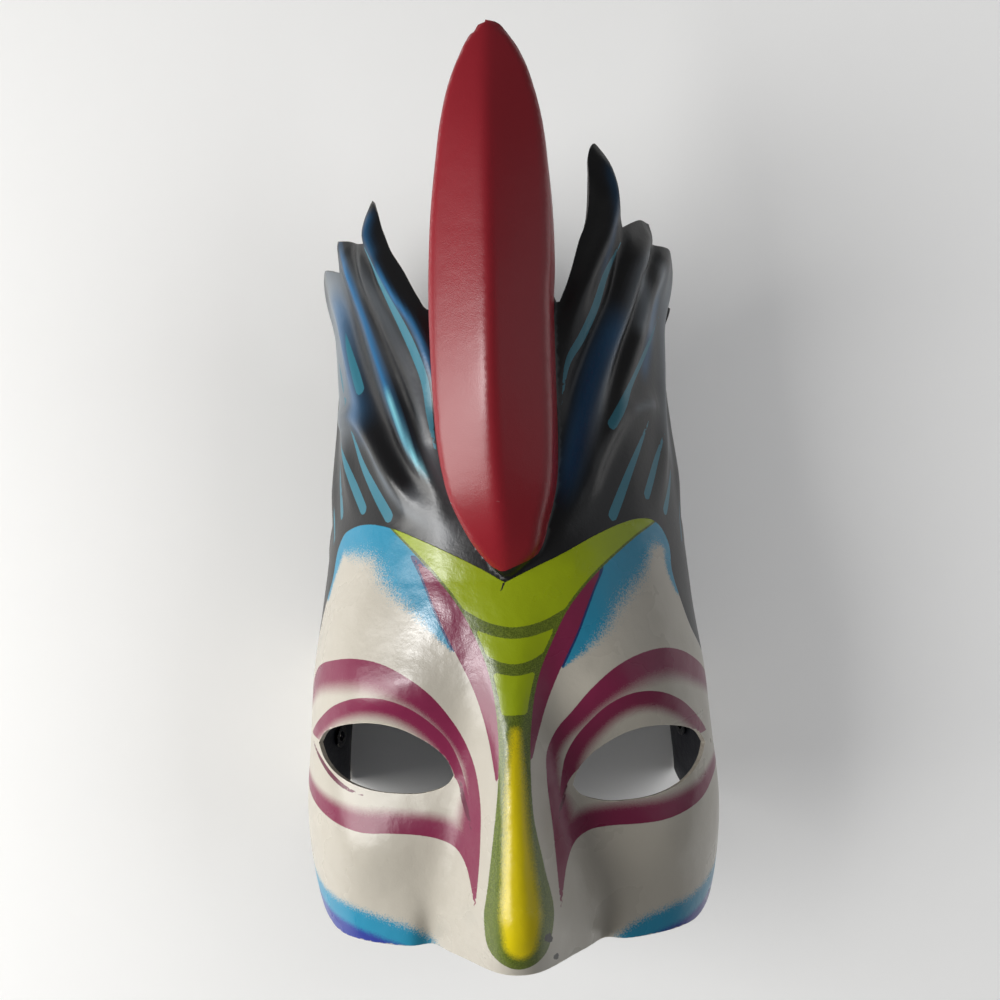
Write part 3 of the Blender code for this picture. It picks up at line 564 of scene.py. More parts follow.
def surface(s, y, lines):
    """Places in space of chart points on the outer skin."""
    side = np.where(s < 0, -1, 1)
    share = share_along(y)
    reach = np.abs(s)
    edge, wall_run, lean, tall = crest_section(side, y)
    in_crest = (y > 0) & (reach < edge + wall_run + join_slack)
    run = np.where(in_crest, edge + lean, reach - wall_run + lean)
    shift = hair_shift * ease(-.23, .2, share)
    half_width, height = arch(run, y)
    normal_across, normal_up = arch_normal(run, y)
    foot_s = np.where(in_crest, side * (edge + wall_run), s)
    relief = lock_relief(foot_s, y, lines) + lobe_relief(side, run, y)
    x = side * (half_width + relief * normal_across) + shift
    z = height + relief * normal_up
    z = z + face_relief(x, y)
    rim = crown_height * profile(CREST_RIMS, np.clip(share, 0, 1))
    free = ease(*CREST_FREE, share)
    foot_z = (1 - free) * z + free * (rim - tall)
    down = np.clip((reach - edge) / np.maximum(wall_run, 1e-6), 0, 1)
    rim_x = side * edge
    wall_x = rim_x + (x - rim_x) * down
    wall_z = rim + (foot_z - rim) * down
    ridge = crest_half_width * profile(CREST_RIDGES, np.clip(share, 0, 1))
    half_facet = np.where(s < ridge, edge + ridge, edge - ridge)
    slope = np.clip(np.abs(s - ridge) / np.maximum(half_facet, 1e-6), 0, 1)
    top_z = rim + crest_ridge_height * profile(CREST_RISES, np.clip(share, 0, 1)) * (1 - slope ** FACET_BULGE)
    on_top = in_crest & (reach < edge)
    x = np.where(on_top, s, np.where(in_crest, wall_x, x))
    z = np.where(on_top, top_z, np.where(in_crest, wall_z, z))
    return np.stack([x, y, z], axis=-1)


def crest_shares(start, end):
    """Even shares along the crest, closer together near its upper tip."""
    body_end = min(end, TIP_START)
    body = np.linspace(start, body_end, round((body_end - start) * crest_length / feature_spacing) + 1)
    if end <= TIP_START:
        return body
    tip_count = round((end - TIP_START) * crest_length / (feature_spacing * TIP_SPACING))
    return np.append(body[:-1], np.linspace(TIP_START, end, tip_count + 1))


def side_outline(side, hair):
    """Chart outline of one half, from the middle of the lower rim to the crest's upper tip."""
    lower, upper = BACK_EDGE
    stretches = [RIM_FRONT, RIM_CORNER, [(1, lower), (1, lower / 2), (1, 0)],
                 [(1, 0), (1, upper / 2), (1, upper)]]
    outline = []
    for stretch in stretches + hair:
        places = [chart(side, across, along) for across, along in stretch]
        outline.extend(smooth_line(places, feature_spacing)[:-1])
    below = floor_margin * np.array([side, 0])
    back = arch_length - join_slack
    outline = [place + below if abs(place[0]) >= back and place[1] < crest_length * BACK_EDGE_TOP else place
               for place in outline]
    for share in crest_shares(NOTCH, 1):
        edge, wall_run = crest_section(side, np.array(share * crest_length))[:2]
        outline.append(np.array([side * (edge + wall_run), share * crest_length]))
    return outline


def sheet_outline():
    """Closed chart outline of the whole sheet, anticlockwise."""
    right = side_outline(1, RIGHT_HAIR)
    left = side_outline(-1, LEFT_HAIR)
    return np.array(right[:-1] + left[:0:-1])


def eye_outline(side):
    """Chart outline of one eye hole."""
    inner = np.array(chart(side, *EYE_INNER))
    outer = np.array(chart(side, *EYE_OUTER))
    middle = (inner + outer) / 2
    axis = (outer - inner) / np.linalg.norm(outer - inner)
    inner = middle - axis * eye_length / 2
    outer = middle + axis * eye_length / 2
    skew = np.array([0, -side * eye_skew / 2])
    points = []
    for stations, size in ((EYE_TOP, eye_rise), (EYE_BOTTOM, eye_drop)):
        arc = [inner + (outer - inner) * part + np.array([0, size * up]) + skew for part, up in stations]
        arc = smooth_line(arc, feature_spacing * .75)
        points.extend(arc[:-1] if size == eye_rise else arc[:0:-1])
    return np.array(points)


def crest_lines():
    """Chart lines of the nose, the crest's ridge, its two rims and the two feet of its walls."""
    lines = [smooth_line([(0, -face_length), (0, 0)], feature_spacing)]
    low, high = NOSE_LINE_ENDS
    for share in NOSE_LINES:
        rows = np.linspace(low, high, round((high - low) * face_length / feature_spacing))
        places = share * nose_half_width * profile(NOSE_WIDTHS, rows)
        lines.append(np.stack([places, rows * face_length], axis=-1))
    for share_end, kind in ((1, 0), (RIM_LINE_END, 1), (FOOT_LINE_END, 2)):
        for side in ((1,) if kind == 0 else (-1, 1)):
            line = []
            for share in crest_shares(0, share_end):
                edge, wall_run = crest_section(side, np.array(share * crest_length))[:2]
                ridge = crest_half_width * profile(CREST_RIDGES, share)
                s = (ridge, side * edge, side * (edge + wall_run))[kind]
                line.append((float(s), share * crest_length))
            lines.append(np.array(line))
    return lines


def lattice(spacing, reach_from, reach_to):
    """Staggered points of the chart between two reaches from the midline."""
    rows = np.arange(-face_length, crest_length, spacing * math.sqrt(3) / 2)
    points = []
    for number, y in enumerate(rows):
        row = np.arange(-reach_to, reach_to, spacing) + (number % 2) * spacing / 2
        keep = (np.abs(row) >= reach_from) & (np.abs(row) < reach_to)
        points.extend((s, y) for s in row[keep])
    return np.array(points)


def inside(points, outline):
    """Whether each point is inside a closed outline."""
    result = np.zeros(len(points), dtype=bool)
    for index in range(len(outline)):
        start, end = outline[index - 1], outline[index]
        spans = (start[1] > points[:, 1]) != (end[1] > points[:, 1])
        rise = end[1] - start[1]
        crossing = start[0] + (points[:, 1] - start[1]) * (end[0] - start[0]) / (rise if rise else 1)
        result ^= spans & (points[:, 0] < crossing)
    return result


# Mesh spacing of the looks
detail_spacing = 0.0013
detail_share = 0.56
crest_rounding = 0.0022

# Rounding of the crest: (share of the rounding's reach, weight), besides the place's own weight
ROUNDING_WEIGHTS = ((-1, .18), (-.5, .12), (.5, .12), (1, .18))
OWN_WEIGHT = .4


def place(mark):
    """Chart place of a mark (share across, share along), below 0 across on the left."""
    across, along = mark
    return chart(-1 if across < 0 else 1, abs(across), along)


def curve(marks, spacing=paint_spacing):
    """Smooth chart curve through marks."""
    return smooth_line([place(mark) for mark in marks], spacing)


def near_lines(points, lines, reach):
    """Points within a reach of the box round some chart lines."""
    places = np.vstack(lines)
    low, high = places.min(axis=0) - reach, places.max(axis=0) + reach
    return np.all((points > low) & (points < high), axis=1)


def region_field(points, curves):
    """Distance inside a closed region of mark curves, below 0 outside."""
    lines = [curve(marks) for marks in curves]
    loop = np.vstack([line[:-1] for line in lines])
    field = np.full(len(points), -field_limit)
    near = near_lines(points, lines, field_limit)
    gap = line_distance(points[near], np.vstack([loop, loop[:1]]))[0]
    field[near] = np.where(inside(points[near], loop), gap, -gap)
    return np.clip(field, -field_limit, field_limit)


def line_gap(points, curves, limit=field_limit):
    """Distance to the nearest of some mark curves, and the share along it."""
    gaps = np.full(len(points), limit)
    shares = np.zeros(len(points))
    for marks in curves:
        line = curve(marks)
        near = near_lines(points, [line], limit)
        gap, share = line_distance(points[near], line)
        closer = gap < gaps[near]
        gaps[near] = np.where(closer, gap, gaps[near])
        shares[near] = np.where(closer, share, shares[near])
    return gaps, shares


def stroke_field(points, marks, half_width, taper):
    """Distance inside a brush stroke whose width follows a taper, below 0 outside."""
    gap, share = line_gap(points, [marks])
    return np.clip(half_width * profile(taper, share) - gap, -field_limit, field_limit)


def glow(points, marks, reach, strength):
    """Streak that fades across and at both ends, for airbrushed paint and for painted highlights and painted
    reflections.
    """
    gap, share = line_gap(points, [marks], wash_limit)
    fade = ease(-.02, .2, share) * (1 - ease(.78, 1.02, share))
    return strength * fade * np.exp(-(gap / reach) ** 2)


def band_fields(points, bands, reach_at):
    """Crisp region of some bands, and their colour, which fades away from the crisp edges."""
    region = np.full(len(points), -field_limit)
    fill = np.zeros(len(points))
    along = share_along(points[:, 1])
    for edges, rest in bands:
        region = np.maximum(region, region_field(points, edges + rest))
        gap = line_gap(points, edges)[0]
        taper = 1 - ease(.62, .76, np.abs(points[:, 0]) / arch_length)
        reach = np.maximum(reach_at(along) * taper, merge_distance)
        fill = np.maximum(fill, 1 - ease(.45 * reach, 1.4 * reach, gap))
    return region, fill


def paint_fields(points):
    """Every paint field of the sheet at chart points."""
    s, y = points.T
    along = share_along(y)
    fields = {}
    far = arch_length * 1.1
    corners = [(far, crest_length * 1.05), (-far, crest_length * 1.05)]
    lines = [curve(HAIR_LINE_LEFT), curve(HAIR_LINE_RIGHT)]
    loop = np.vstack([lines[0][:-1], lines[1], np.array(corners)])
    gap = np.minimum(*[line_distance(points, line)[0] for line in lines])
    fields["hair"] = np.clip(np.where(inside(points, loop), gap, -gap), -field_limit, field_limit)

    side = np.where(s < 0, -1, 1)
    edge, wall_run = crest_section(side, y)[:2]
    crest = np.where(y > -.002, edge + wall_run - np.abs(s), -field_limit)
    fields["crest"] = np.minimum(crest, fields["hair"] - CREST_PAINT_GAP)

    spine = region_field(points, SPINE)
    fields["spine"] = spine
    lime = np.minimum(spine - profile(LIME_INSET, along), y - LIME_END * face_length)
    for marks in BARS:
        gap = line_gap(points, [marks])[0]
        lime = np.minimum(lime, gap - BAR_HALF_WIDTH)
    fields["lime"] = lime
    gap, share = line_gap(points, [CORE])
    core_width = np.array(CORE_WIDTHS)
    fields["core"] = np.interp(share, core_width[:, 0], core_width[:, 1]) - gap

    flanks = [region_field(points, curves) for curves in FLANKS]
    fields["flank"] = np.maximum(*flanks)
    fields["brow"], fields["brow_fill"] = band_fields(points, BROWS, lambda at: profile(BROW_REACHES, at))
    fields["lid"], fields["lid_fill"] = band_fields(points, LIDS, lambda at: np.full(len(at), LID_REACH))
    liners = [stroke_field(points, marks, width, LINER_TAPER) for marks, width in LINERS]
    fields["liner"] = np.max(liners, axis=0)

    blue = np.zeros(len(points))
    for marks, reaches in BLUE_LINES:
        gap, share = line_gap(points, [marks], wash_limit)
        reach = profile(reaches, share)
        blue = np.maximum(blue, 1 - ease(.3 * reach, 1.45 * reach, gap))
    fields["forehead_blue"] = blue
    corner = np.full(len(points), -field_limit)
    for curves in CHEEK_CORNERS:
        within = region_field(points, curves) > 0
        gap = line_gap(points, curves[:1])[0]
        corner = np.maximum(corner, np.where(within, gap, -gap))
    fields["cheek_blue"] = ease(-.003, .0052, corner)
    fields["violet"] = ease(.0068, .0115, corner)

    strokes = [stroke_field(points, marks, width, BOTH_ENDS_TAPER if both else START_TAPER)
               for marks, width, both in TEAL_STROKES]
    fields["teal"] = np.max(strokes, axis=0)
    # Blue paint, with painted highlights along the ridges
    fields["blue_paint_and_highlight"] = np.clip(sum(glow(points, *mark) for mark in BLUE_PAINT_AND_HIGHLIGHT_STREAKS), 0, 1)
    # Painted cyan highlight along a ridge
    fields["painted_cyan_highlight"] = glow(points, *CYAN_HIGHLIGHT_STREAK)
    # Grey paint, with painted highlights on the ridges and a painted reflection on the outer lobes
    fields["grey_paint_and_sheen"] = np.clip(sum(glow(points, *mark) for mark in GREY_PAINT_AND_SHEEN_STREAKS), 0, 1)
    chips = [stroke_field(points, marks, width, CHIP_TAPER) for marks, width in CHIPS]
    fields["chip"] = np.max(chips, axis=0)
    scratches = [stroke_field(points, marks, width, SCRATCH_TAPER) for marks, width in SCRATCHES]
    fields["scratch"] = np.max(scratches, axis=0)
    return fields


def clear_of(points, tree, reach):
    """Whether each point is farther than a reach from the points of a tree."""
    return np.array([tree.find((*point, 0))[2] > reach for point in points], dtype=bool)


def eyelet_circle(side):
    """Chart outline of the hole for one eyelet."""
    y = length_along(eyelet_place)
    centre = eyelet_reach(side)
    radius = eyelet_bore_radius + eyelet_wall + clearance
    angles = np.linspace(0, 2 * math.pi, 28, endpoint=False)
    return np.stack([centre + radius * np.cos(angles), y + radius * np.sin(angles)], axis=-1)


def chart_mesh(fine, wide):
    """Points and triangles of the flat chart, with the feature lines as edges."""
    outline = sheet_outline()
    holes = [eye_outline(-1), eye_outline(1), eyelet_circle(-1), eyelet_circle(1)]
    open_lines = crest_lines()
    fixed, edges = [], []
    for loop in [outline] + holes:
        first = len(fixed)
        fixed.extend(loop)
        edges.extend((first + index, first + (index + 1) % len(loop)) for index in range(len(loop)))
    for line in open_lines:
        first = len(fixed)
        fixed.extend(line)
        edges.extend((first + index, first + index + 1) for index in range(len(line) - 1))
    fixed = np.array(fixed)
    tree = KDTree(len(fixed))
    for index, point in enumerate(fixed):
        tree.insert((*point, 0), index)
    tree.balance()
    free = []
    detail = detail_share * arch_length
    border = front_share * arch_length
    for spacing, reach_from, reach_to, top in ((detail_spacing, 0, detail, 0), (fine, detail, border, 0),
                                               (fine, 0, border, 1), (wide, border, arch_length * 1.2, 2)):
        points = lattice(spacing, reach_from, reach_to)
        if top == 0:
            points = points[points[:, 1] < 0]
        elif top == 1:
            points = points[points[:, 1] >= 0]
        points = points[inside(points, outline)]
        free.extend(points[clear_of(points, tree, .6 * spacing)])
    points = [Vector(point) for point in np.vstack([fixed, np.array(free)])]
    net = delaunay_2d_cdt(points, edges, [], 0, merge_distance)
    places = np.array(net[0])
    triangles = np.array([list(triangle) for triangle in net[2]])
    middles = places[triangles].mean(axis=1)
    keep = inside(middles, outline)
    for hole in holes:
        keep &= ~inside(middles, hole)
    triangles = triangles[keep]
    used, triangles = np.unique(triangles, return_inverse=True)
    return places[used], triangles.reshape(-1, 3), outline, holes


def skin_normals(skin, triangles):
    """Unit normals at the points of a skin."""
    first, second, third = (skin[triangles[:, index]] for index in range(3))
    normals = np.cross(second - first, third - first)
    result = np.zeros_like(skin)
    for index in range(3):
        np.add.at(result, triangles[:, index], normals)
    return result / np.maximum(np.linalg.norm(result, axis=1), 1e-12)[:, None]


def rounded_surface(s, y, lines):
    """The outer skin with the crest's ridge and rims softly rounded."""
    side = np.where(s < 0, -1, 1)
    edge, wall_run = crest_section(side, y)[:2]
    foot = edge + wall_run
    reach = np.abs(s)
    in_crest = (y > 0) & (reach < foot + join_slack)
    skin = surface(s, y, lines)
    soft = np.minimum(crest_rounding, np.maximum(foot, 0) * .3)
    left_foot = sum(crest_section(-1, y)[:2])
    right_foot = sum(crest_section(1, y)[:2])
    total = skin[in_crest] * OWN_WEIGHT
    for step, weight in ROUNDING_WEIGHTS:
        moved = np.clip(s + step * soft, -left_foot, right_foot)
        total = total + weight * surface(moved[in_crest], y[in_crest], lines[:1])
    down = np.clip((reach - edge) / np.maximum(wall_run, 1e-6), 0, 1)
    at_foot = ease(.55, 1, down)[in_crest][:, None]
    skin[in_crest] = at_foot * skin[in_crest] + (1 - at_foot) * total
    return skin


def border_edges(triangles):
    """Directed edges that only one triangle has."""
    edges = np.vstack([triangles[:, [0, 1]], triangles[:, [1, 2]], triangles[:, [2, 0]]])
    size = int(triangles.max()) + 1
    forward = edges[:, 0] * size + edges[:, 1]
    backward = edges[:, 1] * size + edges[:, 0]
    return edges[~np.isin(forward, backward)]


def shell_mesh(name, fine, wide):
    """Closed mesh of the sheet with paint fields, outer skin, inner skin and raw edge."""
    places, triangles, outline, holes = chart_mesh(fine, wide)
    flat = places[triangles]
    turn = np.cross(flat[:, 1] - flat[:, 0], flat[:, 2] - flat[:, 0])
    triangles = np.where((turn < 0)[:, None], triangles[:, [0, 2, 1]], triangles)
    skin = rounded_surface(places[:, 0], places[:, 1], lock_lines())
    skin[:, 1] += middle_shift
    normals = skin_normals(skin, triangles)
    inner = skin - sheet_thickness * normals
    inner[:, 2] = np.maximum(inner[:, 2], 0)
    skin[:, 2] = np.maximum(skin[:, 2], 0)
    count = len(skin)
    border = border_edges(triangles)
    rim = np.stack([border[:, 1], border[:, 0], border[:, 0] + count, border[:, 1] + count], axis=-1)
    mesh = bpy.data.meshes.new(name)
    faces = [tuple(face) for face in triangles.tolist()]
    faces += [tuple(face) for face in (triangles[:, ::-1] + count).tolist()]
    faces += [tuple(face) for face in rim.tolist()]
    mesh.from_pydata(np.vstack([skin, inner]).tolist(), [], faces)
    mesh.polygons.foreach_set("use_smooth", [True] * len(faces))
    slots = [0] * len(triangles) + [1] * len(triangles) + [2] * len(rim)
    mesh.polygons.foreach_set("material_index", slots)
    mesh.update()
    rim_pairs = {(min(pair), max(pair)) for pair in border.tolist()}
    rim_pairs |= {(low + count, high + count) for low, high in rim_pairs}
    ends = np.empty(len(mesh.edges) * 2, dtype=int)
    mesh.edges.foreach_get("vertices", ends)
    sharp = [(min(pair), max(pair)) in rim_pairs for pair in ends.reshape(-1, 2).tolist()]
    mesh.edges.foreach_set("use_edge_sharp", sharp)
    fields = paint_fields(places)
    rims = [line_distance(places, np.vstack([loop, loop[:1]]))[0] for loop in [outline] + holes[:2]]
    fields["rim_gap"] = np.clip(np.min(rims, axis=0), 0, field_limit)
    for key, values in fields.items():
        layer = mesh.attributes.new(key, "FLOAT", "POINT")
        layer.data.foreach_set("value", np.tile(values, 2).astype(np.float32))
    return mesh


def eyelet_reach(side):
    """Chart reach of the middle of one eyelet."""
    y = length_along(eyelet_place)
    runs = np.linspace(.6, 1, 400) * arch_length
    heights = surface(side * runs, np.full(len(runs), y), lock_lines())[:, 2]
    return side * float(np.interp(eyelet_height, heights[::-1], runs[::-1]))


def eyelet_frame(side):
    """Middle of the eyelet on the outer skin, and its outward direction."""
    y = length_along(eyelet_place)
    s = eyelet_reach(side)
    step = .0024
    places = surface(np.array([s - step, s + step, s, s]), np.array([y, y, y - step, y + step]), lock_lines())
    normal = Vector(places[1] - places[0]).cross(Vector(places[3] - places[2])).normalized()
    return Vector(places.mean(axis=0)) + Vector((0, middle_shift, 0)), normal


def wall_span(side, centre, normal):
    """How far the outer skin stands up and falls away within the eyelet's flange."""
    radius = eyelet_bore_radius + eyelet_wall + eyelet_flange_width
    base_s = [chart(side, part, eyelet_place)[0] for part in np.linspace(.6, 1, 60)]
    ys = length_along(eyelet_place) + np.linspace(-radius, radius, 9)
    grid_s, grid_y = np.meshgrid(base_s, ys)
    places = surface(grid_s.ravel(), grid_y.ravel(), lock_lines())
    places[:, 1] += middle_shift
    heights = []
    for skin_place in places:
        offset = Vector(skin_place) - centre
        height = offset.dot(normal)
        if (offset - height * normal).length <= radius * 1.1:
            heights.append(height)
    return max(heights), min(heights)


def linear(red, green, blue):
    """Linear colour of a display colour from 0 to 255."""
    values = [channel / 255 for channel in (red, green, blue)]
    return tuple(value / 12.92 if value <= .04045 else ((value + .055) / 1.055) ** 2.4 for value in values)


def add_node(tree, kind, inputs=(), **settings):
    """Node with its settings, and its inputs linked or set."""
    made = tree.nodes.new(kind)
    for key, value in settings.items():
        setattr(made, key, value)
    for key, value in dict(inputs).items():
        if isinstance(value, bpy.types.NodeSocket):
            tree.links.new(value, made.inputs[key])
        else:
            made.inputs[key].default_value = value
    return made


def calculate(tree, operation, *values, clamp=False):
    """Output of a math node."""
    made = add_node(tree, "ShaderNodeMath", enumerate(values), operation=operation, use_clamp=clamp)
    return made.outputs[0]


def noise_factor(tree, spot, scale, detail):
    """Output of a noise texture."""
    made = add_node(tree, "ShaderNodeTexNoise", {"Vector": spot, "Scale": scale, "Detail": detail})
    return made.outputs["Fac"]


def blend_colors(tree, mask, below, above):
    """Colour above laid over colour below by a mask."""
    mixer = add_node(tree, "ShaderNodeMix", {0: mask}, data_type="RGBA")
    for socket, value in ((mixer.inputs[6], below), (mixer.inputs[7], above)):
        if isinstance(value, bpy.types.NodeSocket):
            tree.links.new(value, socket)
        else:
            socket.default_value = (*value, 1)
    return mixer.outputs[2]


def blend_values(tree, mask, below, above):
    """Value above laid over value below by a mask."""
    return add_node(tree, "ShaderNodeMix", {0: mask, 2: below, 3: above}, data_type="FLOAT").outputs[0]


def new_group(name, inputs, outputs):
    """Shader node group with named float inputs, given with their defaults, and typed outputs."""
    tree = bpy.data.node_groups.new(name, "ShaderNodeTree")
    for label, default in inputs:
        if default is None:
            tree.interface.new_socket(label, in_out="INPUT", socket_type="NodeSocketVector")
        else:
            socket = tree.interface.new_socket(label, in_out="INPUT", socket_type="NodeSocketFloat")
            socket.default_value = default
    for label, kind in outputs:
        tree.interface.new_socket(label, in_out="OUTPUT", socket_type=kind)
    return tree, tree.nodes.new("NodeGroupInput").outputs, tree.nodes.new("NodeGroupOutput").inputs


def crisp_group():
    """Edge of a masked coat of paint, slightly uneven."""
    tree, given, wanted = new_group("crisp_paint_edge", [("Place", None), ("Field", 0), ("Wobble", .0002),
                                                         ("Grain", 1400), ("Softness", .00018)],
                                    [("Mask", "NodeSocketFloat")])
    noise = noise_factor(tree, given["Place"], given["Grain"], 2)
    shift = calculate(tree, "MULTIPLY", calculate(tree, "SUBTRACT", noise, .5), given["Wobble"])
    field = calculate(tree, "ADD", given["Field"], shift)
    slope = calculate(tree, "DIVIDE", field, given["Softness"])
    tree.links.new(calculate(tree, "ADD", slope, .5, clamp=True), wanted["Mask"])
    return tree


def stipple_group():
    """Airbrushed coat that breaks into fine dots where it thins out."""
    tree, given, wanted = new_group("airbrush_stipple", [("Place", None), ("Density", 0), ("Grain", 1900),
                                                         ("Softness", .16)], [("Mask", "NodeSocketFloat")])
    noise = noise_factor(tree, given["Place"], given["Grain"], 1)
    low = calculate(tree, "MULTIPLY", given["Softness"], .5)
    high = calculate(tree, "SUBTRACT", 1, low)
    level = add_node(tree, "ShaderNodeMapRange", {"Value": noise, "From Min": .3, "From Max": .7,
                                                  "To Min": low, "To Max": high})
    gap = calculate(tree, "SUBTRACT", given["Density"], level.outputs[0])
    slope = calculate(tree, "DIVIDE", gap, given["Softness"])
    tree.links.new(calculate(tree, "ADD", slope, .5, clamp=True), wanted["Mask"])
    return tree


def bump_group():
    """Relief of the painted sheet: soft dents, orange peel and pebble grain."""
    tree, given, wanted = new_group("sheet_bumps", [("Place", None), ("Dents", .0003), ("Peel", .00005),
                                                    ("Grain", .00002)], [("Normal", "NodeSocketVector")])
    height = 0.0
    for label, scale, detail in (("Dents", 120, 1), ("Peel", 650, 2), ("Grain", 2600, 1)):
        noise = noise_factor(tree, given["Place"], scale, detail)
        part = calculate(tree, "MULTIPLY", noise, given[label])
        height = calculate(tree, "ADD", part, height)
    bump = add_node(tree, "ShaderNodeBump", {"Height": height, "Distance": 1.0, "Strength": 1.0})
    tree.links.new(bump.outputs["Normal"], wanted["Normal"])
    return tree


def wear_group():
    """Rubbed rim, and slow patches that vary the gloss."""
    tree, given, wanted = new_group("rim_wear", [("Place", None), ("Rim Gap", .01), ("Reach", .0007)],
                                    [("Rim", "NodeSocketFloat"), ("Patches", "NodeSocketFloat")])
    noise = noise_factor(tree, given["Place"], 420, 4)
    reach = calculate(tree, "MULTIPLY", calculate(tree, "SUBTRACT", noise, .38), given["Reach"])
    inner = calculate(tree, "SUBTRACT", calculate(tree, "MULTIPLY", reach, 4), given["Rim Gap"])
    tree.links.new(calculate(tree, "DIVIDE", inner, .0003, clamp=True), wanted["Rim"])
    tree.links.new(noise_factor(tree, given["Place"], 34, 4), wanted["Patches"])
    return tree


def use_group(tree, name, inputs):
    """Outputs of a shared node group."""
    made = add_node(tree, "ShaderNodeGroup", node_tree=bpy.data.node_groups[name])
    for key, value in inputs.items():
        if isinstance(value, bpy.types.NodeSocket):
            tree.links.new(value, made.inputs[key])
        else:
            made.inputs[key].default_value = value
    return made.outputs


def make_groups():
    """The shared node groups, once."""
    for name, maker in (("crisp_paint_edge", crisp_group), ("airbrush_stipple", stipple_group),
                        ("sheet_bumps", bump_group), ("rim_wear", wear_group)):
        if name not in bpy.data.node_groups:
            maker()


def new_material(name):
    """Material with its tree, shader and place on the object."""
    material = bpy.data.materials.new(name)
    material.use_nodes = True
    tree = material.node_tree
    spot = add_node(tree, "ShaderNodeTexCoord").outputs["Object"]
    return material, tree, tree.nodes["Principled BSDF"], spot


def set_input(tree, shader, name, value):
    """Link or set an input of the shader."""
    if isinstance(value, bpy.types.NodeSocket):
        tree.links.new(value, shader.inputs[name])
    else:
        shader.inputs[name].default_value = (*value, 1) if isinstance(value, tuple) else value


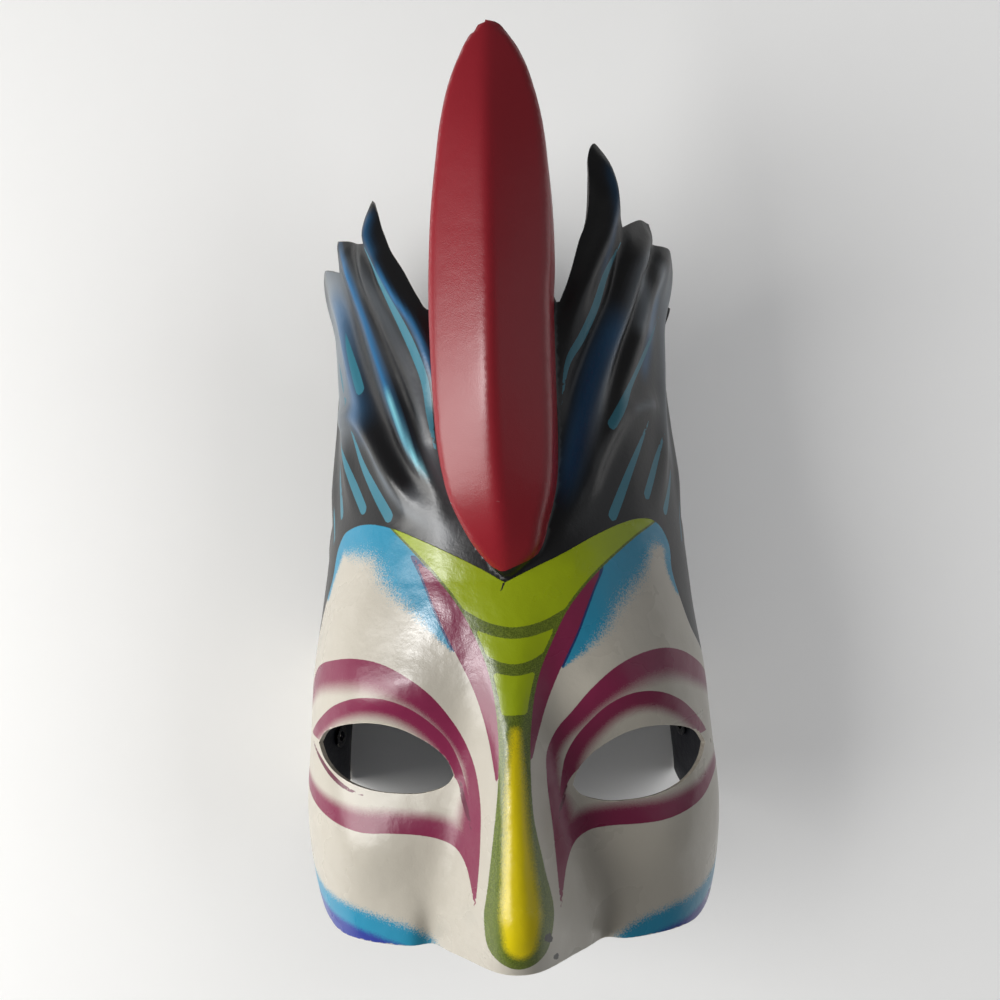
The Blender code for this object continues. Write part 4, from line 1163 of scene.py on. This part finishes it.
def painted_material(looks):
    """Paint of the outer skin: face, hair and crest on one sheet, with painted highlights and a painted
    reflection on the locks.
    """
    material, tree, shader, spot = new_material("painted_skin")

    def field(name):
        """A paint field of the mesh."""
        return add_node(tree, "ShaderNodeAttribute", attribute_name=name).outputs["Fac"]

    def crisp(value, wobble=.0002, softness=.00018):
        """Mask of a coat with a crisp edge."""
        return use_group(tree, "crisp_paint_edge",
                         {"Place": spot, "Field": value, "Wobble": wobble, "Softness": softness})["Mask"]

    def stipple(value, softness=.5, grain=1900):
        """Mask of an airbrushed coat."""
        return use_group(tree, "airbrush_stipple",
                         {"Place": spot, "Density": value, "Softness": softness, "Grain": grain})["Mask"]

    wear = use_group(tree, "rim_wear", {"Place": spot, "Rim Gap": field("rim_gap"), "Reach": looks.rim_wear})
    band = tuple(looks.band_color)
    band_dark = tuple(channel * .55 for channel in band)
    blue = tuple(looks.blue_color)
    color = blend_colors(tree, calculate(tree, "MULTIPLY", wear["Patches"], .12), tuple(looks.face_color),
                         tuple(channel * .8 for channel in looks.face_color))
    color = blend_colors(tree, stipple(field("forehead_blue")), color, blue)
    color = blend_colors(tree, stipple(field("cheek_blue")), color, blue)
    color = blend_colors(tree, stipple(field("violet"), .7), color, linear(*VIOLET))
    for name in ("brow", "lid"):
        mask = calculate(tree, "MULTIPLY", crisp(field(name)), stipple(field(name + "_fill"), .85, 3000))
        color = blend_colors(tree, mask, color, band)
    outline = crisp(calculate(tree, "ADD", field("flank"), .0008))
    outline = calculate(tree, "MULTIPLY", outline, stipple(field("forehead_blue")))
    color = blend_colors(tree, outline, color, linear(*FLANK_SHADE))
    color = blend_colors(tree, crisp(field("flank")), color, band)
    color = blend_colors(tree, crisp(field("liner")), color, band_dark)
    speck = noise_factor(tree, spot, 2300.0, 1.0)
    speck = calculate(tree, "MULTIPLY", calculate(tree, "SUBTRACT", speck, .42), 5, clamp=True)
    olive = blend_colors(tree, speck, linear(*OLIVE), linear(*OLIVE_SPECK))
    core = calculate(tree, "DIVIDE", field("core"), CORE_SOFTNESS)
    core = stipple(calculate(tree, "ADD", core, .45), .7, 2400)
    olive = blend_colors(tree, core, olive, tuple(looks.core_color))
    olive = blend_colors(tree, crisp(field("lime"), .0004), olive, tuple(looks.lime_color))
    color = blend_colors(tree, crisp(field("spine"), .00035), color, olive)

    # Locks: black paint under grey paint with painted highlights and a painted reflection
    hair = blend_colors(tree, calculate(tree, "MULTIPLY", field("grey_paint_and_sheen"), .9), tuple(looks.hair_color),
                        linear(*GREY_PAINT_AND_SHEEN))
    # Blue paint with painted highlights along the ridges
    hair = blend_colors(tree, field("blue_paint_and_highlight"), hair, linear(*BLUE_PAINT_AND_HIGHLIGHT))
    # Painted cyan highlight along a ridge
    hair = blend_colors(tree, field("painted_cyan_highlight"), hair, linear(*PAINTED_CYAN_HIGHLIGHT))
    hair = blend_colors(tree, crisp(field("teal"), .00025), hair, tuple(looks.teal_color))
    hair_mask = crisp(field("hair"))
    color = blend_colors(tree, hair_mask, color, hair)
    crest_mask = crisp(field("crest"), .00015)
    red = blend_colors(tree, calculate(tree, "MULTIPLY", wear["Patches"], .3), tuple(looks.crest_color),
                       tuple(channel * .72 for channel in looks.crest_color))
    color = blend_colors(tree, crest_mask, color, red)
    color = blend_colors(tree, crisp(field("scratch"), .0002), color, linear(*SCRATCH_TONE))
    color = blend_colors(tree, crisp(field("chip"), .0005), color, linear(*CHIP_TONE))
    rim_color = blend_colors(tree, hair_mask, linear(*WORN_FACE), linear(*WORN_HAIR))
    color = blend_colors(tree, calculate(tree, "MULTIPLY", wear["Rim"], .7), color, rim_color)
    set_input(tree, shader, "Base Color", color)

    patches = calculate(tree, "MULTIPLY", wear["Patches"], .16)
    rough = calculate(tree, "ADD", patches, looks.face_roughness - .08)
    rough = blend_values(tree, hair_mask, rough, looks.hair_roughness)
    rough = blend_values(tree, crest_mask, rough, looks.crest_roughness)
    set_input(tree, shader, "Roughness", rough)
    dents = blend_values(tree, hair_mask, .00035, .00012)
    grain = blend_values(tree, crest_mask, .000015, .000035)
    peel = blend_values(tree, crest_mask, looks.peel_height, looks.peel_height * .4)
    normal = use_group(tree, "sheet_bumps", {"Place": spot, "Dents": dents, "Peel": peel, "Grain": grain})
    set_input(tree, shader, "Normal", normal["Normal"])
    shader.inputs["Specular IOR Level"].default_value = .5
    return material


def inner_material(looks):
    """Brushed dark paint of the inside."""
    material, tree, shader, spot = new_material("painted_inside")
    wear = use_group(tree, "rim_wear", {"Place": spot, "Rim Gap": 1.0, "Reach": 0.0})
    color = blend_colors(tree, wear["Patches"], tuple(looks.inside_color),
                         tuple(channel * .45 for channel in looks.inside_color))
    set_input(tree, shader, "Base Color", color)
    patches = calculate(tree, "MULTIPLY", wear["Patches"], .3)
    set_input(tree, shader, "Roughness", calculate(tree, "ADD", patches, .3))
    normal = use_group(tree, "sheet_bumps", {"Place": spot, "Dents": .0006, "Peel": .00015, "Grain": .00004})
    set_input(tree, shader, "Normal", normal["Normal"])
    return material


def edge_material(looks):
    """Raw cut edge, pale on the face and dark on the hair."""
    material, tree, shader, spot = new_material("cut_edge")
    fibre = noise_factor(tree, spot, 900.0, 4.0)
    pale = blend_colors(tree, fibre, linear(*PALE_EDGE), linear(*PALE_EDGE_SHADE))
    dark = blend_colors(tree, fibre, linear(*DARK_EDGE), linear(*DARK_EDGE_LIGHT))
    hair = add_node(tree, "ShaderNodeAttribute", attribute_name="hair").outputs["Fac"]
    mask = use_group(tree, "crisp_paint_edge", {"Place": spot, "Field": hair})["Mask"]
    color = blend_colors(tree, mask, pale, dark)
    crest = add_node(tree, "ShaderNodeAttribute", attribute_name="crest").outputs["Fac"]
    crest = calculate(tree, "ADD", crest, .0008)
    crest_mask = use_group(tree, "crisp_paint_edge", {"Place": spot, "Field": crest})["Mask"]
    color = blend_colors(tree, crest_mask, color, tuple(channel * .5 for channel in looks.crest_color))
    set_input(tree, shader, "Base Color", color)
    set_input(tree, shader, "Roughness", .6)
    normal = use_group(tree, "sheet_bumps", {"Place": spot, "Dents": .0001, "Peel": .0001, "Grain": .00005})
    set_input(tree, shader, "Normal", normal["Normal"])
    return material


def metal_material():
    """Dark lacquered metal of the eyelets, worn in spots scattered by noise."""
    material, tree, shader, spot = new_material("lacquered_metal")
    wear = noise_factor(tree, spot, 700.0, 5.0)
    mask = calculate(tree, "MULTIPLY", calculate(tree, "SUBTRACT", wear, .55), 8, clamp=True)
    set_input(tree, shader, "Base Color", blend_colors(tree, mask, linear(*METAL), linear(*WORN_METAL)))
    set_input(tree, shader, "Roughness", blend_values(tree, mask, .22, .38))
    shader.inputs["Metallic"].default_value = .85
    normal = use_group(tree, "sheet_bumps", {"Place": spot, "Dents": 0.0, "Peel": .00003, "Grain": .00001})
    set_input(tree, shader, "Normal", normal["Normal"])
    return material


def floor_material(looks):
    """Pale paper of the floor."""
    material, tree, shader, spot = new_material("pale_paper")
    fibre = noise_factor(tree, spot, 60.0, 5.0)
    tone = tuple(looks.floor_color)
    shade = tuple(channel * .985 for channel in tone)
    set_input(tree, shader, "Base Color", blend_colors(tree, fibre, tone, shade))
    set_input(tree, shader, "Roughness", .85)
    return material


def new_object(name, mesh):
    """Object of a mesh in the scene."""
    made = bpy.data.objects.new(name, mesh)
    bpy.context.scene.collection.objects.link(made)
    return made


def build_shell(looks):
    """The painted sheet with its inner skin and raw edge."""
    mesh = shell_mesh("painted_shell", looks.fine_spacing, looks.wide_spacing)
    shell = new_object("painted_shell", mesh)
    for material in (painted_material(looks), inner_material(looks), edge_material(looks)):
        mesh.materials.append(material)
    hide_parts("mask_shell")
    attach(shell, "root")


def rounded(section, radius, steps=3):
    """A closed section of (radius, height) points with its corners rounded."""
    result = []
    for index, corner in enumerate(section):
        corner = np.array(corner)
        before = np.array(section[index - 1]) - corner
        after = np.array(section[(index + 1) % len(section)]) - corner
        start = corner + before / np.linalg.norm(before) * radius
        end = corner + after / np.linalg.norm(after) * radius
        for part in np.linspace(0, 1, steps + 1):
            result.append(tuple((1 - part) ** 2 * start + 2 * part * (1 - part) * corner + part ** 2 * end))
    return result


def build_eyelets(looks):
    """The two flanged rings, turned with rounded rims."""
    material = metal_material()
    for name, side in (("eyelet_left", -1), ("eyelet_right", 1)):
        centre, normal = eyelet_frame(side)
        highest, lowest = wall_span(side, centre, normal)
        outer = highest + clearance
        inner = lowest - sheet_thickness - clearance
        barrel = eyelet_bore_radius + eyelet_wall
        flange = barrel + eyelet_flange_width
        end, top = inner - eyelet_flange_thickness, outer + eyelet_flange_thickness
        section = rounded([(eyelet_bore_radius, end), (flange, end), (flange, inner), (barrel, inner),
                           (barrel, outer), (flange, outer), (flange, top), (eyelet_bore_radius, top)],
                          eyelet_rounding)
        count, turns = len(section), looks.ring_steps
        angles = np.arange(turns) * 2 * math.pi / turns
        points = [(radius * math.cos(angle), radius * math.sin(angle), height)
                  for angle in angles for radius, height in section]
        faces = []
        for turn in range(turns):
            here, there = turn * count, (turn + 1) % turns * count
            for index in range(count):
                after = (index + 1) % count
                faces.append((here + index, there + index, there + after, here + after))
        mesh = bpy.data.meshes.new(name + "_ring")
        turning = Matrix.Translation(centre) @ normal.to_track_quat("Z", "Y").to_matrix().to_4x4()
        mesh.from_pydata([turning @ Vector(point) for point in points], [], faces)
        mesh.polygons.foreach_set("use_smooth", [True] * len(faces))
        mesh.materials.append(material)
        ring = new_object(name + "_ring", mesh)
        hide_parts(name)
        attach(ring, "root")


def add_light(name, place, aim, size, power, color=(1, 1, 1), gloss_only=False, receivers=None):
    """Soft rectangular light aimed at a place, for gloss alone or for some receivers alone if told so."""
    light = bpy.data.lights.new(name, "AREA")
    light.shape = "RECTANGLE"
    light.size, light.size_y = size
    light.energy = power
    light.color = color
    made = bpy.data.objects.new(name, light)
    made.location = place
    made.rotation_euler = (Vector(aim) - Vector(place)).to_track_quat("-Z", "Y").to_euler()
    bpy.context.scene.collection.objects.link(made)
    made.visible_diffuse = not gloss_only
    if receivers:
        made.light_linking.receiver_collection = receivers


def build_stage(looks):
    """Floor, lights, background and camera."""
    half = looks.floor_size / 2
    mesh = bpy.data.meshes.new("floor")
    corners = [(-half, -half, 0), (half, -half, 0), (half, half, 0), (-half, half, 0)]
    mesh.from_pydata(corners, [], [(0, 1, 2, 3)])
    mesh.materials.append(floor_material(looks))
    floor = new_object("floor", mesh)
    floor.location.z = -.0002
    middle = (0, -.02, .09)
    add_light("window", (-.8, -.1, .58), middle, (.6, .75), looks.key_power, (1, .99, .96))
    add_light("lamp_high", (-.55, .12, .87), middle, (.16, .22), looks.high_power, gloss_only=True)
    add_light("lamp_low", (-.75, .27, .62), middle, (.1, .1), looks.low_power, gloss_only=True)
    add_light("fill", (.9, .1, .5), middle, (.8, .8), looks.fill_power, (.93, .96, 1))
    paper = bpy.data.collections.new("paper_only")
    paper.objects.link(floor)
    add_light("paper_light", (1.1, .05, .8), (.25, 0, 0), (1, 1), looks.paper_power, receivers=paper)
    world = bpy.data.worlds.new("studio")
    world.use_nodes = True
    backdrop = world.node_tree.nodes["Background"]
    backdrop.inputs["Color"].default_value = (1, 1, 1, 1)
    backdrop.inputs["Strength"].default_value = looks.world_strength
    bpy.context.scene.world = world
    camera = bpy.data.cameras.new("camera")
    camera.lens = looks.lens
    camera.sensor_width = 36
    camera.clip_start = .01
    made = bpy.data.objects.new("camera", camera)
    made.location = (-.001, -.003, looks.camera_height)
    made.rotation_euler = (0, 0, -looks.camera_turn)
    bpy.context.scene.collection.objects.link(made)
    bpy.context.scene.camera = made
    bpy.context.scene.view_settings.view_transform = "Standard"


def color_property(label, text, *value):
    """Colour property with a default from 0 to 255."""
    return bpy.props.FloatVectorProperty(name=label, description=text, subtype="COLOR", size=3, min=0, max=1,
                                         default=linear(*value))


class MASK_PG_looks(bpy.types.PropertyGroup):
    """Every value of the mask's looks."""
    fine_spacing: bpy.props.FloatProperty(name="Fine Spacing", description="Mesh spacing on the front",
                                          default=.0017, min=.001, unit="LENGTH")
    wide_spacing: bpy.props.FloatProperty(name="Wide Spacing", description="Mesh spacing on the sides",
                                          default=.0026, min=.001, unit="LENGTH")
    ring_steps: bpy.props.IntProperty(name="Ring Steps", description="Steps round an eyelet",
                                      default=48, min=12)
    face_color: color_property("Face", "Paint of the face", 196, 190, 178)
    band_color: color_property("Bands", "Paint of the bands round the eyes", 128, 34, 72)
    blue_color: color_property("Blue", "Airbrushed corners", 42, 142, 178)
    lime_color: color_property("Lime", "Paint of the brow", 156, 174, 2)
    core_color: color_property("Nose", "Middle of the nose stripe", 224, 203, 0)
    hair_color: color_property("Hair", "Ground of the locks", 15, 15, 18)
    teal_color: color_property("Teal", "Brush strokes of the locks", 52, 122, 142)
    crest_color: color_property("Crest", "Paint of the crest", 150, 26, 40)
    inside_color: color_property("Inside", "Paint of the inside", 20, 22, 40)
    floor_color: color_property("Floor", "Paper of the floor", 245, 245, 245)
    face_roughness: bpy.props.FloatProperty(name="Face Roughness", description="Gloss of the face",
                                            default=.28, min=0, max=1)
    hair_roughness: bpy.props.FloatProperty(name="Hair Roughness", description="Gloss of the locks",
                                            default=.34, min=0, max=1)
    crest_roughness: bpy.props.FloatProperty(name="Crest Roughness", description="Gloss of the crest",
                                             default=.33, min=0, max=1)
    peel_height: bpy.props.FloatProperty(name="Peel Height", description="Height of the paint's orange peel",
                                         default=.00006, min=0, unit="LENGTH")
    rim_wear: bpy.props.FloatProperty(name="Rim Wear", description="Width of the rubbed rim",
                                      default=.0005, min=0, unit="LENGTH")
    floor_size: bpy.props.FloatProperty(name="Floor Size", description="Side of the floor",
                                        default=3, min=1, unit="LENGTH")
    key_power: bpy.props.FloatProperty(name="Key Power", description="Window light",
                                       default=10, min=0, unit="POWER")
    high_power: bpy.props.FloatProperty(name="High Power", description="Upper lamp, for gloss",
                                        default=4, min=0, unit="POWER")
    low_power: bpy.props.FloatProperty(name="Low Power", description="Lower lamp, for gloss",
                                       default=.4, min=0, unit="POWER")
    fill_power: bpy.props.FloatProperty(name="Fill Power", description="Fill light",
                                        default=.8, min=0, unit="POWER")
    paper_power: bpy.props.FloatProperty(name="Paper Power", description="Light of the paper alone",
                                         default=8, min=0, unit="POWER")
    world_strength: bpy.props.FloatProperty(name="World Strength", description="White surroundings",
                                            default=.13, min=0)
    lens: bpy.props.FloatProperty(name="Lens", description="Focal length", default=45, min=10,
                                  subtype="DISTANCE_CAMERA")
    camera_height: bpy.props.FloatProperty(name="Camera Height", description="Camera above the floor",
                                           default=.545, min=.3, unit="LENGTH")
    camera_turn: bpy.props.FloatProperty(name="Camera Turn", description="Turn of the picture",
                                         default=math.radians(2.1), unit="ROTATION")


class MASK_OT_shell(bpy.types.Operator):
    """Build the painted sheet"""
    bl_idname = "mask_looks.shell"
    bl_label = "Painted Sheet"

    def execute(self, context):
        make_groups()
        build_shell(context.scene.mask_looks)
        return {"FINISHED"}


class MASK_OT_eyelets(bpy.types.Operator):
    """Build the two strap eyelets"""
    bl_idname = "mask_looks.eyelets"
    bl_label = "Eyelets"

    def execute(self, context):
        make_groups()
        build_eyelets(context.scene.mask_looks)
        return {"FINISHED"}


class MASK_OT_stage(bpy.types.Operator):
    """Build the floor, the lights and the camera"""
    bl_idname = "mask_looks.stage"
    bl_label = "Stage"

    def execute(self, context):
        build_stage(context.scene.mask_looks)
        return {"FINISHED"}


class MASK_PT_panel(bpy.types.Panel):
    """Values and steps of the mask's looks"""
    bl_idname = "MASK_PT_panel"
    bl_label = "Masquerade Mask"
    bl_space_type = "VIEW_3D"
    bl_region_type = "UI"
    bl_category = "Mask"

    def draw(self, context):
        layout = self.layout
        for name in MASK_PG_looks.__annotations__:
            layout.prop(context.scene.mask_looks, name)
        for operator in (MASK_OT_shell, MASK_OT_eyelets, MASK_OT_stage):
            layout.operator(operator.bl_idname)


CLASSES = (MASK_PG_looks, MASK_OT_shell, MASK_OT_eyelets, MASK_OT_stage, MASK_PT_panel)


def register():
    """Add the classes and the scene's values."""
    for entry in CLASSES:
        bpy.utils.register_class(entry)
    bpy.types.Scene.mask_looks = bpy.props.PointerProperty(type=MASK_PG_looks)


def unregister():
    """Take the classes and the scene's values away."""
    del bpy.types.Scene.mask_looks
    for entry in reversed(CLASSES):
        bpy.utils.unregister_class(entry)


def main():
    """Build the looks."""
    register()
    bpy.ops.mask_looks.shell()
    bpy.ops.mask_looks.eyelets()
    bpy.ops.mask_looks.stage()


if __name__ == "__main__":
    main()
